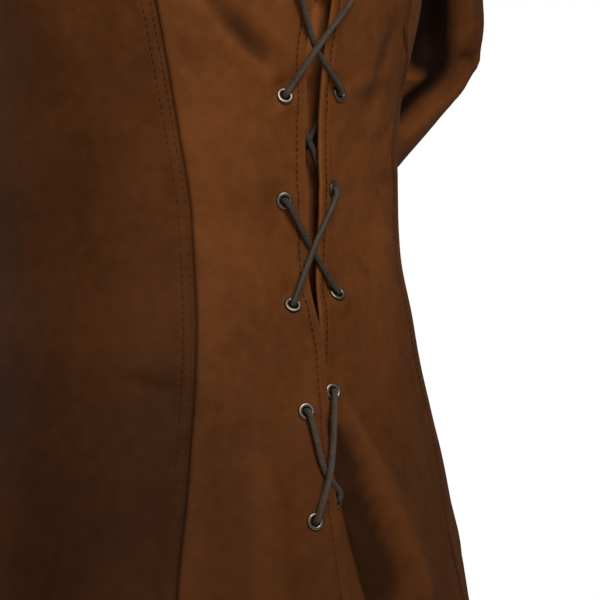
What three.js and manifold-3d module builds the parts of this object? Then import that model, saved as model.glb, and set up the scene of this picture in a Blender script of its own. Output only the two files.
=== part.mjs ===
// A hooded tunic in garment leather, laced at both sides of the back, in its worn, hollow form.
// Millimetres, +Z up, the wearer faces -Y and the wearer's left is +X. z = 0 is the base of the neck.
import * as THREE from "three";
import { mergeVertices } from "three/addons/utils/BufferGeometryUtils.js";
import Module from "manifold-3d";

const wasm = await Module();
wasm.setup();

// ---- driving sizes ----
const WALL = 1.8; // leather and its pressed seam turnings
const GAP = 0.3; // between pieces that are sewn together
const HEM_Z = -850;
const GIRTH_RADIUS = 148; // mean radius near the lacing, turns degrees round the body into mm
const MM_PER_DEGREE = (GIRTH_RADIUS * Math.PI) / 180;
const ARMHOLE = { angle: 91, halfAngle: 31, z: -128, halfHeight: 80, points: 16 };
const NECK = { frontDrop: 46, spread: 34, reach: 105 };
const EYELET = { bore: 2.4, barrel: 3.0, flange: 4.75, crest: 1.3, back: 2.7, sides: 8 };
const LACE = { radius: 1.8, sides: 8 };
const LACE_OVER = LACE.radius + GAP; // height of a lace's middle when it lies on a panel
const LAP = { top: -470, full: -500, under: 1.9, fade: 8.2, flat: 4, lift: WALL + EYELET.crest + 0.4 };
const UNDERLAY = { top: -248, bottom: -516, half: 13.5, deepHalf: 10.6, depth: 10.9, wall: 1.2 };

// The body of the tunic: half its width and half its depth at each height.
const TORSO = [
  { z: HEM_Z, halfWidth: 262, halfDepth: 206 },
  { z: -740, halfWidth: 236, halfDepth: 182 },
  { z: -646, halfWidth: 212, halfDepth: 160 },
  { z: -612, halfWidth: 204, halfDepth: 154 },
  { z: -562, halfWidth: 192, halfDepth: 144 },
  { z: -520, halfWidth: 181, halfDepth: 133.6 },
  { z: -487, halfWidth: 173, halfDepth: 127.4 },
  { z: -450, halfWidth: 165, halfDepth: 121 },
  { z: -430, halfWidth: 164, halfDepth: 120 },
  { z: -403, halfWidth: 165, halfDepth: 120.2 },
  { z: -380, halfWidth: 166, halfDepth: 121.2 },
  { z: -363, halfWidth: 168, halfDepth: 123.4 },
  { z: -343, halfWidth: 170, halfDepth: 128 },
  { z: -310, halfWidth: 172, halfDepth: 133.5 },
  { z: -250, halfWidth: 180, halfDepth: 136 },
  { z: -215, halfWidth: 184, halfDepth: 134 },
  { z: -170, halfWidth: 186, halfDepth: 128 },
  { z: -120, halfWidth: 186, halfDepth: 120 },
  { z: -80, halfWidth: 183, halfDepth: 105 },
  { z: -50, halfWidth: 174, halfDepth: 86 },
  { z: -28, halfWidth: 142, halfDepth: 80 },
  { z: -10, halfWidth: 108, halfDepth: 77 },
  { z: 0, halfWidth: 88, halfDepth: 75 },
];

// Seams as angles round the body: 0 is centre front, 90 the wearer's left, 180 centre back.
const SIDE_SEAM = [
  { z: HEM_Z, angle: 101 },
  { z: -625, angle: 104.4 },
  { z: -556, angle: 107.1 },
  { z: -486, angle: 109.2 },
  { z: -432, angle: 108.4 },
  { z: -382, angle: 105 },
  { z: -316, angle: 99.2 },
  { z: -260, angle: 94.5 },
  { z: ARMHOLE.z - ARMHOLE.halfHeight, angle: ARMHOLE.angle },
];

// The laced opening: the edge of the side back panel and the edge of the back panel. Below 503 mm the
// side back panel laps over the back panel.
const LACED_EDGES = [
  { z: HEM_Z, sideBack: 138.6, back: 138.6 - LAP.under },
  { z: -629, sideBack: 137.8, back: 137.8 - LAP.under },
  { z: -578, sideBack: 137.1, back: 137.1 - LAP.under },
  { z: -547, sideBack: 137.9, back: 137.9 - LAP.under },
  { z: -522, sideBack: 139, back: 137.2 },
  { z: -503, sideBack: 139.3, back: 139 },
  { z: -484, sideBack: 139, back: 140.3 },
  { z: -455, sideBack: 138.6, back: 141.4 },
  { z: -413, sideBack: 138.5, back: 142.7 },
  { z: -367, sideBack: 137.6, back: 142 },
  { z: -340, sideBack: 135.8, back: 140.9 },
  { z: -314, sideBack: 136.2, back: 141.5 },
  { z: -285, sideBack: 137.4, back: 141.2 },
  { z: -262, sideBack: 139.3, back: 139.8 },
  { z: -240, sideBack: 139.5, back: 139.6 },
  { z: 0, sideBack: 139.5, back: 139.6 },
];

// The centre back seam wanders a little off the middle, as the cloth twists on the body.
const CENTRE_BACK = [
  { z: HEM_Z, angle: 180 },
  { z: -640, angle: 180.5 },
  { z: -605, angle: 177.6 },
  { z: -560, angle: 181 },
  { z: -415, angle: 181 },
  { z: -393, angle: 176.6 },
  { z: -360, angle: 180.5 },
  { z: -346, angle: 179.5 },
  { z: -324, angle: 172.5 },
  { z: -280, angle: 175 },
  { z: -200, angle: 180 },
  { z: 0, angle: 180 },
];

// The largest folds, each along a line on the cloth. Depth is outwards, so a trough's is negative.
const FOLDS = [
  { name: "drape valley", angle0: 143.6, z0: -580, angle1: 149, z1: -650, width: 10, depth: -5.5 },
  { name: "drape valley, lower", angle0: 149, z0: -650, angle1: 152, z1: -880, width: 20, depth: -9 },
  { name: "drape ridge", angle0: 145, z0: -545, angle1: 160, z1: -640, width: 15, depth: 4.5 },
  { name: "side back ridge", angle0: 121, z0: -540, angle1: 119, z1: -880, width: 15, depth: 4 },
  { name: "side back trough", angle0: 114, z0: -530, angle1: 113, z1: -880, width: 12, depth: -3 },
  { name: "chest pull", angle0: 108, z0: -300, angle1: 127, z1: -350, width: 11, depth: -3 },
  { name: "side pull", angle0: 101, z0: -338, angle1: 115, z1: -356, width: 9, depth: -2.2 },
  { name: "waist hollow", angle0: 161, z0: -378, angle1: 167, z1: -322, width: 9, depth: -3 },
  { name: "front drape", angle0: 22, z0: -560, angle1: 20, z1: -880, width: 24, depth: -8 },
  { name: "front side drape", angle0: 62, z0: -560, angle1: 60, z1: -880, width: 24, depth: 8 },
];

// Places on the cloth: the eyelets from the top down, on the side back panel and on the back panel.
const EYELETS = [
  { sideAngle: 130.6, sideZ: -308.7, backAngle: 147.2, backZ: -308.5 },
  { sideAngle: 131.6, sideZ: -365.2, backAngle: 148, backZ: -363.2 },
  { sideAngle: 132.5, sideZ: -420.5, backAngle: 147.4, backZ: -415 },
  { sideAngle: 133.1, sideZ: -475.5, backAngle: 146.9, backZ: -470.2 },
  { sideAngle: 133.4, sideZ: -531.1, backAngle: 141.9, backZ: -521.9 },
  { sideAngle: 132.2, sideZ: -587.9, backAngle: 138.4, backZ: -577.6 },
];
// Where the two strands between one level and the next cross.
const CROSSINGS = [
  { angle: 139.4, z: -338 },
  { angle: 140, z: -392 },
  { angle: 139.6, z: -446 },
  { angle: 140, z: -498 },
  { angle: 138, z: -557 },
];

const SLEEVE_HEAD = { tuckedIn: -1.2, standsOut: 4 }; // the first two rings, along X from the armhole

// Each sleeve ring by its outer and its inner point and half its breadth, from the shoulder to the cuff.
const SLEEVE_HAND_ON_HIP = [
  { outer: [206, 8, -60], inner: [201, 6, -212], halfBreadth: 58 },
  { outer: [243, 40, -98], inner: [213, 18, -224], halfBreadth: 54 },
  { outer: [289, 91, -196], inner: [223, 25, -254], halfBreadth: 55 },
  { outer: [318, 114, -258], inner: [255, 51, -306], halfBreadth: 51 },
  { outer: [337, 114, -296], inner: [263, 48, -318], halfBreadth: 50 },
  { outer: [345, 107, -334], inner: [268, 43, -326], halfBreadth: 50 },
  { outer: [338, 86, -372], inner: [267, 30, -333], halfBreadth: 49 },
  { outer: [318, 61, -408], inner: [260, 19, -348], halfBreadth: 47 },
  { outer: [304, 47, -426], inner: [248, 7, -367], halfBreadth: 46 },
  { outer: [289, 31, -444], inner: [235, -7, -386], halfBreadth: 44 },
  { outer: [273, 15, -463], inner: [221, -22, -407], halfBreadth: 43 },
  { outer: [257, -2, -482], inner: [207, -38, -428], halfBreadth: 41 },
];
const SLEEVE_HELD_FORWARD = [
  { outer: [206, -4, -60], inner: [201, -5, -212], halfBreadth: 58 },
  { outer: [240, -52, -106], inner: [210, -50, -230], halfBreadth: 53 },
  { outer: [264, -98, -178], inner: [198, -62, -252], halfBreadth: 55 },
  { outer: [262, -156, -238], inner: [191, -112, -304], halfBreadth: 51 },
  { outer: [247, -194, -262], inner: [191, -147, -338], halfBreadth: 49 },
  { outer: [217, -236, -275], inner: [181, -197, -356], halfBreadth: 47 },
  { outer: [188, -287, -291], inner: [156, -253, -367], halfBreadth: 44 },
  { outer: [157, -341, -305], inner: [127, -309, -377], halfBreadth: 41 },
];

// The hood's centre seam, from the forehead over the crown to the nape.
const HOOD_SEAM = [
  { y: -112, z: 258 },
  { y: -76, z: 304 },
  { y: -12, z: 328 },
  { y: 62, z: 312 },
  { y: 116, z: 252 },
  { y: 132, z: 176 },
  { y: 116, z: 96 },
  { y: 95, z: 34 },
  { y: 75.2, z: 1.5 },
];
const HOOD = { rows: 12, columns: 7, frontAngle: 22, napeAngle: 176, lift: 1.5, crownFullness: 0.36, cheekFullness: 0.13, cheekRise: 0.36 };

// ---- small tools ----
const radians = (degrees) => (degrees * Math.PI) / 180;
const smooth = (from, to, x) => THREE.MathUtils.smoothstep(x, from, to);
const vector = (list) => new THREE.Vector3(...list);

// A smooth curve through a table's rows that never swings past them.
function track(table, column, key = "z") {
  const x = table.map((row) => row[key]);
  const y = table.map((row) => row[column]);
  const slope = x.slice(1).map((next, i) => (y[i + 1] - y[i]) / (next - x[i]));
  const tangent = x.map((_, i) => {
    if (i === 0) return slope[0];
    if (i === x.length - 1) return slope[i - 1];
    const [before, after] = [slope[i - 1], slope[i]];
    return before * after <= 0 ? 0 : (2 * before * after) / (before + after);
  });
  return (at) => {
    const t = THREE.MathUtils.clamp(at, x[0], x[x.length - 1]);
    const i = Math.min(Math.max(x.findIndex((value) => value > t) - 1, 0), x.length - 2);
    const last = t >= x[x.length - 1] ? x.length - 2 : i;
    const span = x[last + 1] - x[last];
    const s = (t - x[last]) / span;
    const rise = tangent[last] * span;
    const fall = tangent[last + 1] * span;
    const base = y[last] + s * (rise + s * (-2 * rise - fall + s * (rise + fall)));
    return base + (y[last + 1] - y[last]) * s * s * (3 - 2 * s);
  };
}

const halfWidth = track(TORSO, "halfWidth");
const halfDepth = track(TORSO, "halfDepth");
const sideSeam = track(SIDE_SEAM, "angle");
const sideBackEdge = track(LACED_EDGES, "sideBack");
const backEdge = track(LACED_EDGES, "back");
const centreBack = track(CENTRE_BACK, "angle");

// How far the folds push the cloth out at a place.
function foldHeight(angle, z) {
  const around = Math.min(Math.abs(angle), 360 - Math.abs(angle)) * MM_PER_DEGREE;
  return FOLDS.reduce((sum, fold) => {
    const dx = (fold.angle1 - fold.angle0) * MM_PER_DEGREE;
    const dz = fold.z1 - fold.z0;
    const px = around - fold.angle0 * MM_PER_DEGREE;
    const pz = z - fold.z0;
    const length = Math.hypot(dx, dz);
    const along = (px * dx + pz * dz) / length;
    const across = (px * dz - pz * dx) / length;
    const start = smooth(-fold.width, 2 * fold.width, along);
    const end = 1 - smooth(length - 2 * fold.width, length + fold.width, along);
    return sum + fold.depth * start * end * Math.exp(-((across / fold.width) ** 2));
  }, 0);
}

// A point of the tunic's outer face, moved out by lift.
function onTorso(angle, z, lift = 0) {
  const a = halfWidth(z);
  const b = halfDepth(z);
  const s = Math.sin(radians(angle));
  const c = Math.cos(radians(angle));
  const out = new THREE.Vector3(s / a, -c / b, 0).normalize();
  return new THREE.Vector3(a * s, -b * c, z).addScaledVector(out, foldHeight(angle, z) + lift);
}

// The side back panel rises over the back panel where it laps it.
function lapLift(angle, z) {
  const inside = (sideBackEdge(z) - Math.abs(angle)) * MM_PER_DEGREE;
  return LAP.lift * (1 - smooth(LAP.full, LAP.top, z)) * (1 - smooth(LAP.flat, LAP.fade, inside));
}

// The outward direction of the cloth at a place, from two short steps along it.
function outwards(angle, z, lift) {
  const step = 1;
  const at = (da, dz) => onTorso(angle + da, z + dz, lift(angle + da, z + dz));
  const round = at(step, 0).sub(at(-step, 0));
  const up = at(0, step).sub(at(0, -step));
  return round.cross(up).normalize();
}

// ---- solids ----
function solidOf(geometry) {
  const merged = mergeVertices(geometry, 1e-4);
  const mesh = new wasm.Mesh({
    numProp: 3,
    vertProperties: new Float32Array(merged.attributes.position.array),
    triVerts: new Uint32Array(merged.index.array),
  });
  return new wasm.Manifold(mesh);
}

function geometryOf(solid) {
  const { numProp, vertProperties, triVerts } = solid.getMesh();
  const points = [];
  for (let i = 0; i < vertProperties.length; i += numProp) points.push(...vertProperties.subarray(i, i + 3));
  const geometry = new THREE.BufferGeometry();
  geometry.setAttribute("position", new THREE.Float32BufferAttribute(points, 3));
  geometry.setIndex([...triVerts]);
  geometry.computeVertexNormals();
  return geometry;
}

// A sheet is a grid of places, each a point of the outer face and the point under it on the inner face.
// Its rows run up and its columns run round, as seen from outside. closed joins the last column to the
// first. This makes the grid from the points of the outer face.
function thickened(rows, thickness, closed = false) {
  const [height, width] = [rows.length, rows[0].length];
  const column = (i) => (closed ? (i + width) % width : THREE.MathUtils.clamp(i, 0, width - 1));
  const row = (j) => THREE.MathUtils.clamp(j, 0, height - 1);
  return rows.map((points, j) =>
    points.map((outer, i) => {
      const round = rows[j][column(i + 1)].clone().sub(rows[j][column(i - 1)]);
      const up = rows[row(j + 1)][i].clone().sub(rows[row(j - 1)][i]);
      const inner = outer.clone().addScaledVector(round.cross(up).normalize(), -thickness);
      return { outer, inner };
    }),
  );
}

// The closed wall between the two faces of a sheet.
function wall(rows, closed = false) {
  const [height, width] = [rows.length, rows[0].length];
  const column = (i) => (i + width) % width;
  const cells = rows.flat();
  const position = [...cells.map((cell) => cell.outer), ...cells.map((cell) => cell.inner)].flatMap((p) => [
    p.x,
    p.y,
    p.z,
  ]);
  const index = [];
  const offset = height * width;
  const quad = (a, b, c, d) => index.push(a, b, c, a, c, d);
  const last = closed ? width : width - 1;
  for (let j = 0; j < height - 1; j += 1) {
    for (let i = 0; i < last; i += 1) {
      const [a, b] = [j * width + i, j * width + column(i + 1)];
      quad(a, b, b + width, a + width);
      quad(offset + b, offset + a, offset + a + width, offset + b + width);
    }
    if (closed) continue;
    const [left, right] = [j * width, j * width + width - 1];
    quad(offset + left, left, left + width, offset + left + width);
    quad(right, offset + right, offset + right + width, right + width);
  }
  for (let i = 0; i < last; i += 1) {
    const [low, next] = [i, column(i + 1)];
    const [high, highNext] = [(height - 1) * width + low, (height - 1) * width + next];
    quad(offset + low, offset + next, next, low);
    quad(high, highNext, offset + highNext, offset + high);
  }
  const geometry = new THREE.BufferGeometry();
  geometry.setAttribute("position", new THREE.Float32BufferAttribute(position, 3));
  geometry.setIndex(index);
  return geometry;
}

// The same sheet on the other side of the body: mirrored, with its columns in the other order.
const mirrorPoint = (p) => new THREE.Vector3(-p.x, p.y, p.z);
const mirrorRows = (rows) =>
  rows.map((row) => row.map((c) => ({ outer: mirrorPoint(c.outer), inner: mirrorPoint(c.inner) })).reverse());

// ---- torso panels ----
const ARMHOLE_LEVELS = Array.from({ length: ARMHOLE.points / 2 + 1 }, (_, k) =>
  ARMHOLE.z - ARMHOLE.halfHeight * Math.cos((2 * Math.PI * k) / ARMHOLE.points),
);
const LEVELS = [
  ...[HEM_Z, -780, -715, -660, -622, -592, -577, -560, -540, -522, -508, -497, -480, -455, -425, -398],
  ...[-380, -367, -354, -335, -310, -285, -262, -235],
  ...ARMHOLE_LEVELS,
  ...[-34, -18, -6, 0],
];
const SEAM_GAP = 0.5; // at the mean girth, and a little less round the neck
const HALF_SEAM = SEAM_GAP / 2 / MM_PER_DEGREE;

// The edge of the front or of the side back: the side seam, then the armhole, then the shoulder seam.
function sideEdge(z, towardsBack) {
  const rise = (z - ARMHOLE.z) / ARMHOLE.halfHeight;
  if (rise <= -1) return sideSeam(z);
  if (rise >= 1) return ARMHOLE.angle;
  return ARMHOLE.angle + towardsBack * ARMHOLE.halfAngle * Math.sqrt(1 - rise * rise);
}

// The neckline dips at the front.
function neckZ(angle, z) {
  const dip = NECK.frontDrop * Math.exp(-((angle / NECK.spread) ** 2));
  return z - dip * smooth(-NECK.reach, 0, z);
}

const evenly = (columns) => Array.from({ length: columns + 1 }, (_, i) => i / columns);
const SIDE_BACK_COLUMNS = [0, 0.25, 0.5, 0.72, 0.893, 0.946, 1];
const BACK_COLUMNS = [0, 0.06, 0.14, 0.26, 0.42, 0.6, 0.8, 1];

function panelRows(fromEdge, toEdge, shares, lift = () => 0) {
  return LEVELS.map((level) =>
    shares.map((share) => {
      const angle = THREE.MathUtils.lerp(fromEdge(level), toEdge(level), share);
      const z = neckZ(angle, level);
      const outer = onTorso(angle, z, lift(angle, z));
      return { outer, inner: outer.clone().addScaledVector(outwards(angle, z, lift), -WALL) };
    }),
  );
}

const frontRows = panelRows(
  (z) => -sideEdge(z, -1) + HALF_SEAM,
  (z) => sideEdge(z, -1) - HALF_SEAM,
  evenly(14),
);
const sideBackRows = panelRows(
  (z) => sideEdge(z, 1) + HALF_SEAM,
  (z) => sideBackEdge(z),
  SIDE_BACK_COLUMNS,
  lapLift,
);
const backRows = (centre) => panelRows((z) => backEdge(z) + HALF_SEAM, (z) => centre(z) - HALF_SEAM, BACK_COLUMNS);
const backLeftRows = backRows(centreBack);
const backRightRows = mirrorRows(backRows((z) => 360 - centreBack(z)));

// ---- eyelets ----
function eyeletPlace(angle, z, lift) {
  return { point: onTorso(angle, z, lift(angle, z)), out: outwards(angle, z, lift) };
}

const EYELET_PLACES = EYELETS.map((row) => ({
  side: eyeletPlace(row.sideAngle, row.sideZ, lapLift),
  back: eyeletPlace(row.backAngle, row.backZ, () => 0),
}));

const UP = new THREE.Vector3(0, 1, 0);
const mirrored = ({ point, out }) => ({ point: mirrorPoint(point), out: mirrorPoint(out) });

function turnedTo(geometry, { point, out }) {
  const turn = new THREE.Quaternion().setFromUnitVectors(UP, out);
  return geometry.applyQuaternion(turn).translate(point.x, point.y, point.z);
}

function bareLathe(profile) {
  const points = [...profile, profile[0]].map(([r, h]) => new THREE.Vector2(r, h));
  const geometry = new THREE.LatheGeometry(points, EYELET.sides);
  geometry.deleteAttribute("normal");
  geometry.deleteAttribute("uv");
  return mergeVertices(geometry, 1e-4);
}

function eyeletGeometry(place) {
  const profile = [
    [EYELET.bore, -EYELET.back],
    [EYELET.barrel, -EYELET.back],
    [EYELET.barrel, GAP],
    [EYELET.flange, GAP + 0.1],
    [EYELET.bore + 1, EYELET.crest],
    [EYELET.bore, EYELET.crest - 0.4],
  ];
  return turnedTo(bareLathe(profile), place);
}

// A hole through the panel for an eyelet's barrel, a little longer than the leather is thick.
function punched(geometry, places) {
  return geometryOf(
    places.reduce((solid, place) => {
      const reach = 4 * WALL;
      const punch = new THREE.CylinderGeometry(EYELET.barrel + GAP, EYELET.barrel + GAP, reach, EYELET.sides);
      punch.deleteAttribute("normal");
      punch.deleteAttribute("uv");
      return solid.subtract(solidOf(turnedTo(punch, place)));
    }, solidOf(geometry)),
  );
}

// ---- underlay ----
// The strip behind the laced opening: sewn to the panels at its two edges, loose between them.
function underlayRows() {
  const levels = 10;
  const stations = [-1, -0.92, -0.78, -0.3, 0.3, 0.78, 0.92, 1];
  return Array.from({ length: levels + 1 }, (_, j) => {
    const z = THREE.MathUtils.lerp(UNDERLAY.bottom, UNDERLAY.top, j / levels);
    const middle = (sideBackEdge(z) + backEdge(z)) / 2;
    return stations.map((s) => {
      const deep = 1 - smooth(UNDERLAY.deepHalf, 0.93 * UNDERLAY.half, Math.abs(s) * UNDERLAY.half);
      const depth = THREE.MathUtils.lerp(WALL + 4 * GAP, UNDERLAY.depth, deep);
      return onTorso(middle + s * UNDERLAY.half, z, -depth);
    });
  });
}

// ---- laces ----
// The lace goes out of the side column and into the back column, from its hidden end at the foot of one
// column up to the top and down again. Its first half lies over its second half at each crossing.
const LACE_STOPS = [
  ...[EYELETS.length - 1, 3, 1].map((level) => ({ column: "side", level })).flatMap((stop) => [
    stop,
    { column: "back", level: stop.level - 1 },
  ]),
  ...[0, 2, 4].map((level) => ({ column: "side", level })).flatMap((stop) => [
    stop,
    { column: "back", level: stop.level + 1 },
  ]),
];
const LACE_TURN = { shift: 2.6, rise: 2.6, clear: 0.35 };
const LACE_TAIL = 14;
const LACE_OVER_LAP = 1.35; // a strand clears the lapped edge by this share of the edge's rise

// The four points that take the lace through an eyelet, between the stops before and after it.
function throughEyelet({ point, out }, before, after, goesOut) {
  const at = (height, shift, target) => {
    const along = target.clone().sub(point);
    along.addScaledVector(out, -along.dot(out)).normalize();
    return point.clone().addScaledVector(out, height).addScaledVector(along, shift);
  };
  const top = EYELET.crest + LACE_TURN.clear;
  const bottom = -EYELET.back - LACE_TURN.clear;
  const [first, second] = goesOut ? [bottom, top] : [top, bottom];
  const away = (height) => height + Math.sign(height) * LACE_TURN.rise;
  return [
    at(away(first), LACE_TURN.shift, before),
    at(first, 0, before),
    at(second, 0, after),
    at(away(second), LACE_TURN.shift, after),
  ];
}

// The middle of a run between two eyelets, over or under the cloth.
function laceRun(from, to, isOutside, isFirstHalf, crossing) {
  const thickness = 2 * LACE.radius + GAP;
  const run = isOutside ? LACE_OVER : -WALL - LACE_OVER - GAP;
  if (!crossing) {
    const middle = from.point.clone().lerp(to.point, 0.5);
    return [middle.addScaledVector(from.out.clone().add(to.out).normalize(), run - 1)];
  }
  const lap = LACE_OVER_LAP * lapLift(crossing.angle, crossing.z);
  const outsideHeight = LACE_OVER + lap + (isFirstHalf ? thickness : 0);
  const insideHeight = run - (isFirstHalf ? 0 : thickness);
  return [onTorso(crossing.angle, crossing.z, isOutside ? outsideHeight : insideHeight)];
}

function lacePoints() {
  const places = LACE_STOPS.map((stop) => EYELET_PLACES[stop.level][stop.column]);
  const below = (place) => place.point.clone().add(new THREE.Vector3(0, 0, -LACE_TAIL));
  const points = [];
  places.forEach((place, i) => {
    const before = places[i - 1]?.point ?? below(place);
    const after = places[i + 1]?.point ?? below(place);
    const goesOut = LACE_STOPS[i].column === "side";
    points.push(...throughEyelet(place, before, after, goesOut));
    if (i === places.length - 1) return;
    const levels = [LACE_STOPS[i].level, LACE_STOPS[i + 1].level];
    const crossing = levels[0] === levels[1] ? null : CROSSINGS[Math.min(...levels)];
    points.push(...laceRun(place, places[i + 1], goesOut, i < places.length / 2, crossing));
  });
  const tail = (place) => below(place).addScaledVector(place.out, -EYELET.back - 2 * LACE_TURN.rise);
  return [tail(places[0]), ...points, tail(places[places.length - 1])];
}

// A round cord through its points, with closed ends.
function cord(points, radius, sides) {
  const rings = [];
  let side = null;
  points.forEach((point, i) => {
    const before = points[Math.max(i - 1, 0)];
    const after = points[Math.min(i + 1, points.length - 1)];
    const direction = after.clone().sub(before).normalize();
    const start = side ?? new THREE.Vector3(1, 0, 0);
    side = start.clone().addScaledVector(direction, -start.dot(direction)).normalize();
    const other = direction.clone().cross(side);
    rings.push(
      Array.from({ length: sides }, (_, k) => {
        const t = (2 * Math.PI * k) / sides;
        return point
          .clone()
          .addScaledVector(side, radius * Math.cos(t))
          .addScaledVector(other, radius * Math.sin(t));
      }),
    );
  });
  const position = rings.flat().flatMap((p) => [p.x, p.y, p.z]);
  const index = [];
  for (let j = 0; j < rings.length - 1; j += 1) {
    for (let k = 0; k < sides; k += 1) {
      const [a, b] = [j * sides + k, j * sides + ((k + 1) % sides)];
      index.push(a, b, b + sides, a, b + sides, a + sides);
    }
  }
  const end = (rings.length - 1) * sides;
  for (let k = 1; k < sides - 1; k += 1) {
    index.push(0, k + 1, k);
    index.push(end, end + k, end + k + 1);
  }
  const geometry = new THREE.BufferGeometry();
  geometry.setAttribute("position", new THREE.Float32BufferAttribute(position, 3));
  geometry.setIndex(index);
  return geometry;
}

// ---- sleeves ----
// The sleeve's first ring: inside the armhole's edge, clear of the panels' thickness.
function armholeRing(outwardShift) {
  return Array.from({ length: ARMHOLE.points }, (_, k) => {
    const t = (2 * Math.PI * k) / ARMHOLE.points;
    const angle = ARMHOLE.angle + ARMHOLE.halfAngle * Math.sin(t);
    const z = ARMHOLE.z + ARMHOLE.halfHeight * Math.cos(t);
    const point = onTorso(angle, z);
    const out = outwards(angle, z, () => 0);
    const inward = new THREE.Vector3(0, -point.y, ARMHOLE.z - z).normalize();
    const rim = WALL * Math.max(0, -out.dot(inward));
    point.addScaledVector(inward, 2 * GAP + rim);
    point.x += outwardShift;
    return point;
  });
}

function sleeveRing(row, before, after) {
  const outer = vector(row.outer);
  const inner = vector(row.inner);
  const middle = outer.clone().lerp(inner, 0.5);
  const along = after.clone().sub(before).normalize();
  const side = outer.clone().sub(inner).multiplyScalar(0.5);
  const breadth = side.clone().cross(along).normalize().multiplyScalar(row.halfBreadth);
  return Array.from({ length: ARMHOLE.points }, (_, k) => {
    const t = (2 * Math.PI * k) / ARMHOLE.points;
    return middle.clone().addScaledVector(side, Math.cos(t)).addScaledVector(breadth, Math.sin(t));
  });
}

// The rings run from the cuff to the shoulder, so that the wall faces out.
function sleeveRows(table) {
  const middles = table.map((row) => vector(row.outer).lerp(vector(row.inner), 0.5));
  const shoulder = onTorso(ARMHOLE.angle, ARMHOLE.z);
  const rings = table.map((row, i) =>
    sleeveRing(row, middles[i - 1] ?? shoulder, (i > 0 && middles[i + 1]) || middles[i]),
  );
  return [armholeRing(SLEEVE_HEAD.tuckedIn), armholeRing(SLEEVE_HEAD.standsOut), ...rings].reverse();
}

// ---- hood ----
function hoodRows() {
  const seamAt = HOOD_SEAM.map((row, i) => ({ ...row, share: i / (HOOD_SEAM.length - 1) }));
  const seamY = track(seamAt, "y", "share");
  const seamZ = track(seamAt, "z", "share");
  return Array.from({ length: HOOD.rows + 1 }, (_, j) => {
    const share = j / HOOD.rows;
    const seam = new THREE.Vector3(GAP / 2, seamY(share), seamZ(share));
    const angle = THREE.MathUtils.lerp(HOOD.frontAngle, HOOD.napeAngle, share);
    const base = onTorso(angle, neckZ(angle, 0)).add(new THREE.Vector3(0, 0, HOOD.lift));
    const height = seam.distanceTo(base);
    const crown = seam.clone().add(new THREE.Vector3(HOOD.crownFullness * height, 0, 0));
    const cheek = base.clone().add(new THREE.Vector3(HOOD.cheekFullness * height, 0, HOOD.cheekRise * height));
    const gore = new THREE.CubicBezierCurve3(seam, crown, cheek, base);
    return gore.getPoints(HOOD.columns);
  });
}

// The hood's wall ends upright at its centre seam.
function hoodSheet() {
  const sheet = thickened(hoodRows(), WALL);
  sheet.forEach(([seam]) => {
    seam.inner.x = seam.outer.x;
  });
  return sheet;
}

// ---- the whole tunic ----
const leather = (colour) => () =>
  new THREE.MeshStandardMaterial({ color: colour, roughness: 0.55, metalness: 0, flatShading: true });
const FINISH = {
  leather: leather(0x5f3418),
  suede: () => new THREE.MeshStandardMaterial({ color: 0x3a1f0f, roughness: 0.95, metalness: 0 }),
  lace: () => new THREE.MeshStandardMaterial({ color: 0x40362c, roughness: 0.7, metalness: 0 }),
  nickel: () => new THREE.MeshStandardMaterial({ color: 0x7d746a, roughness: 0.35, metalness: 1 }),
};

const tunic = new THREE.Group();
function add(name, geometry, finish) {
  const mesh = new THREE.Mesh(geometry, FINISH[finish]());
  mesh.name = name;
  tunic.add(mesh);
}

const sidePlaces = EYELET_PLACES.map((row) => row.side);
const backPlaces = EYELET_PLACES.map((row) => row.back);
const laceLine = lacePoints();
const hoodGrid = hoodSheet();
const underlayGrid = thickened(underlayRows(), UNDERLAY.wall);

add("front", wall(frontRows), "leather");
for (const side of ["left", "right"]) {
  const isRight = side === "right";
  const grid = (rows) => (isRight ? mirrorRows(rows) : rows);
  const placed = (place) => (isRight ? mirrored(place) : place);
  const sleeveTable = isRight ? SLEEVE_HAND_ON_HIP : SLEEVE_HELD_FORWARD;
  add(`side_back_${side}`, punched(wall(grid(sideBackRows)), sidePlaces.map(placed)), "leather");
  const backGrid = isRight ? backRightRows : backLeftRows;
  add(`back_${side}`, punched(wall(backGrid), backPlaces.map(placed)), "leather");
  add(`sleeve_${side}`, wall(grid(thickened(sleeveRows(sleeveTable), WALL, true)), true), "leather");
  add(`hood_${side}`, wall(grid(hoodGrid)), "leather");
  add(`underlay_${side}`, wall(grid(underlayGrid)), "suede");
  const line = laceLine.map((point) => placed({ point, out: point }).point);
  add(`lace_${side}`, cord(line, LACE.radius, LACE.sides), "lace");
  EYELET_PLACES.forEach((row, i) => {
    add(`eyelet_${side}_side_${i + 1}`, eyeletGeometry(placed(row.side)), "nickel");
    add(`eyelet_${side}_back_${i + 1}`, eyeletGeometry(placed(row.back)), "nickel");
  });
}

export default tunic;
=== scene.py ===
# %% [markdown]
# # A hooded leather tunic
# This notebook dresses the rigid model of a laced, hooded tunic with leather: thin panels with rolled seams,
# creases and stitches, suede strips behind two laced slits, laces, and aged eyelets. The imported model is
# loaded first, and everything below is placed in its frame. Lengths are in millimetres.

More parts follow.
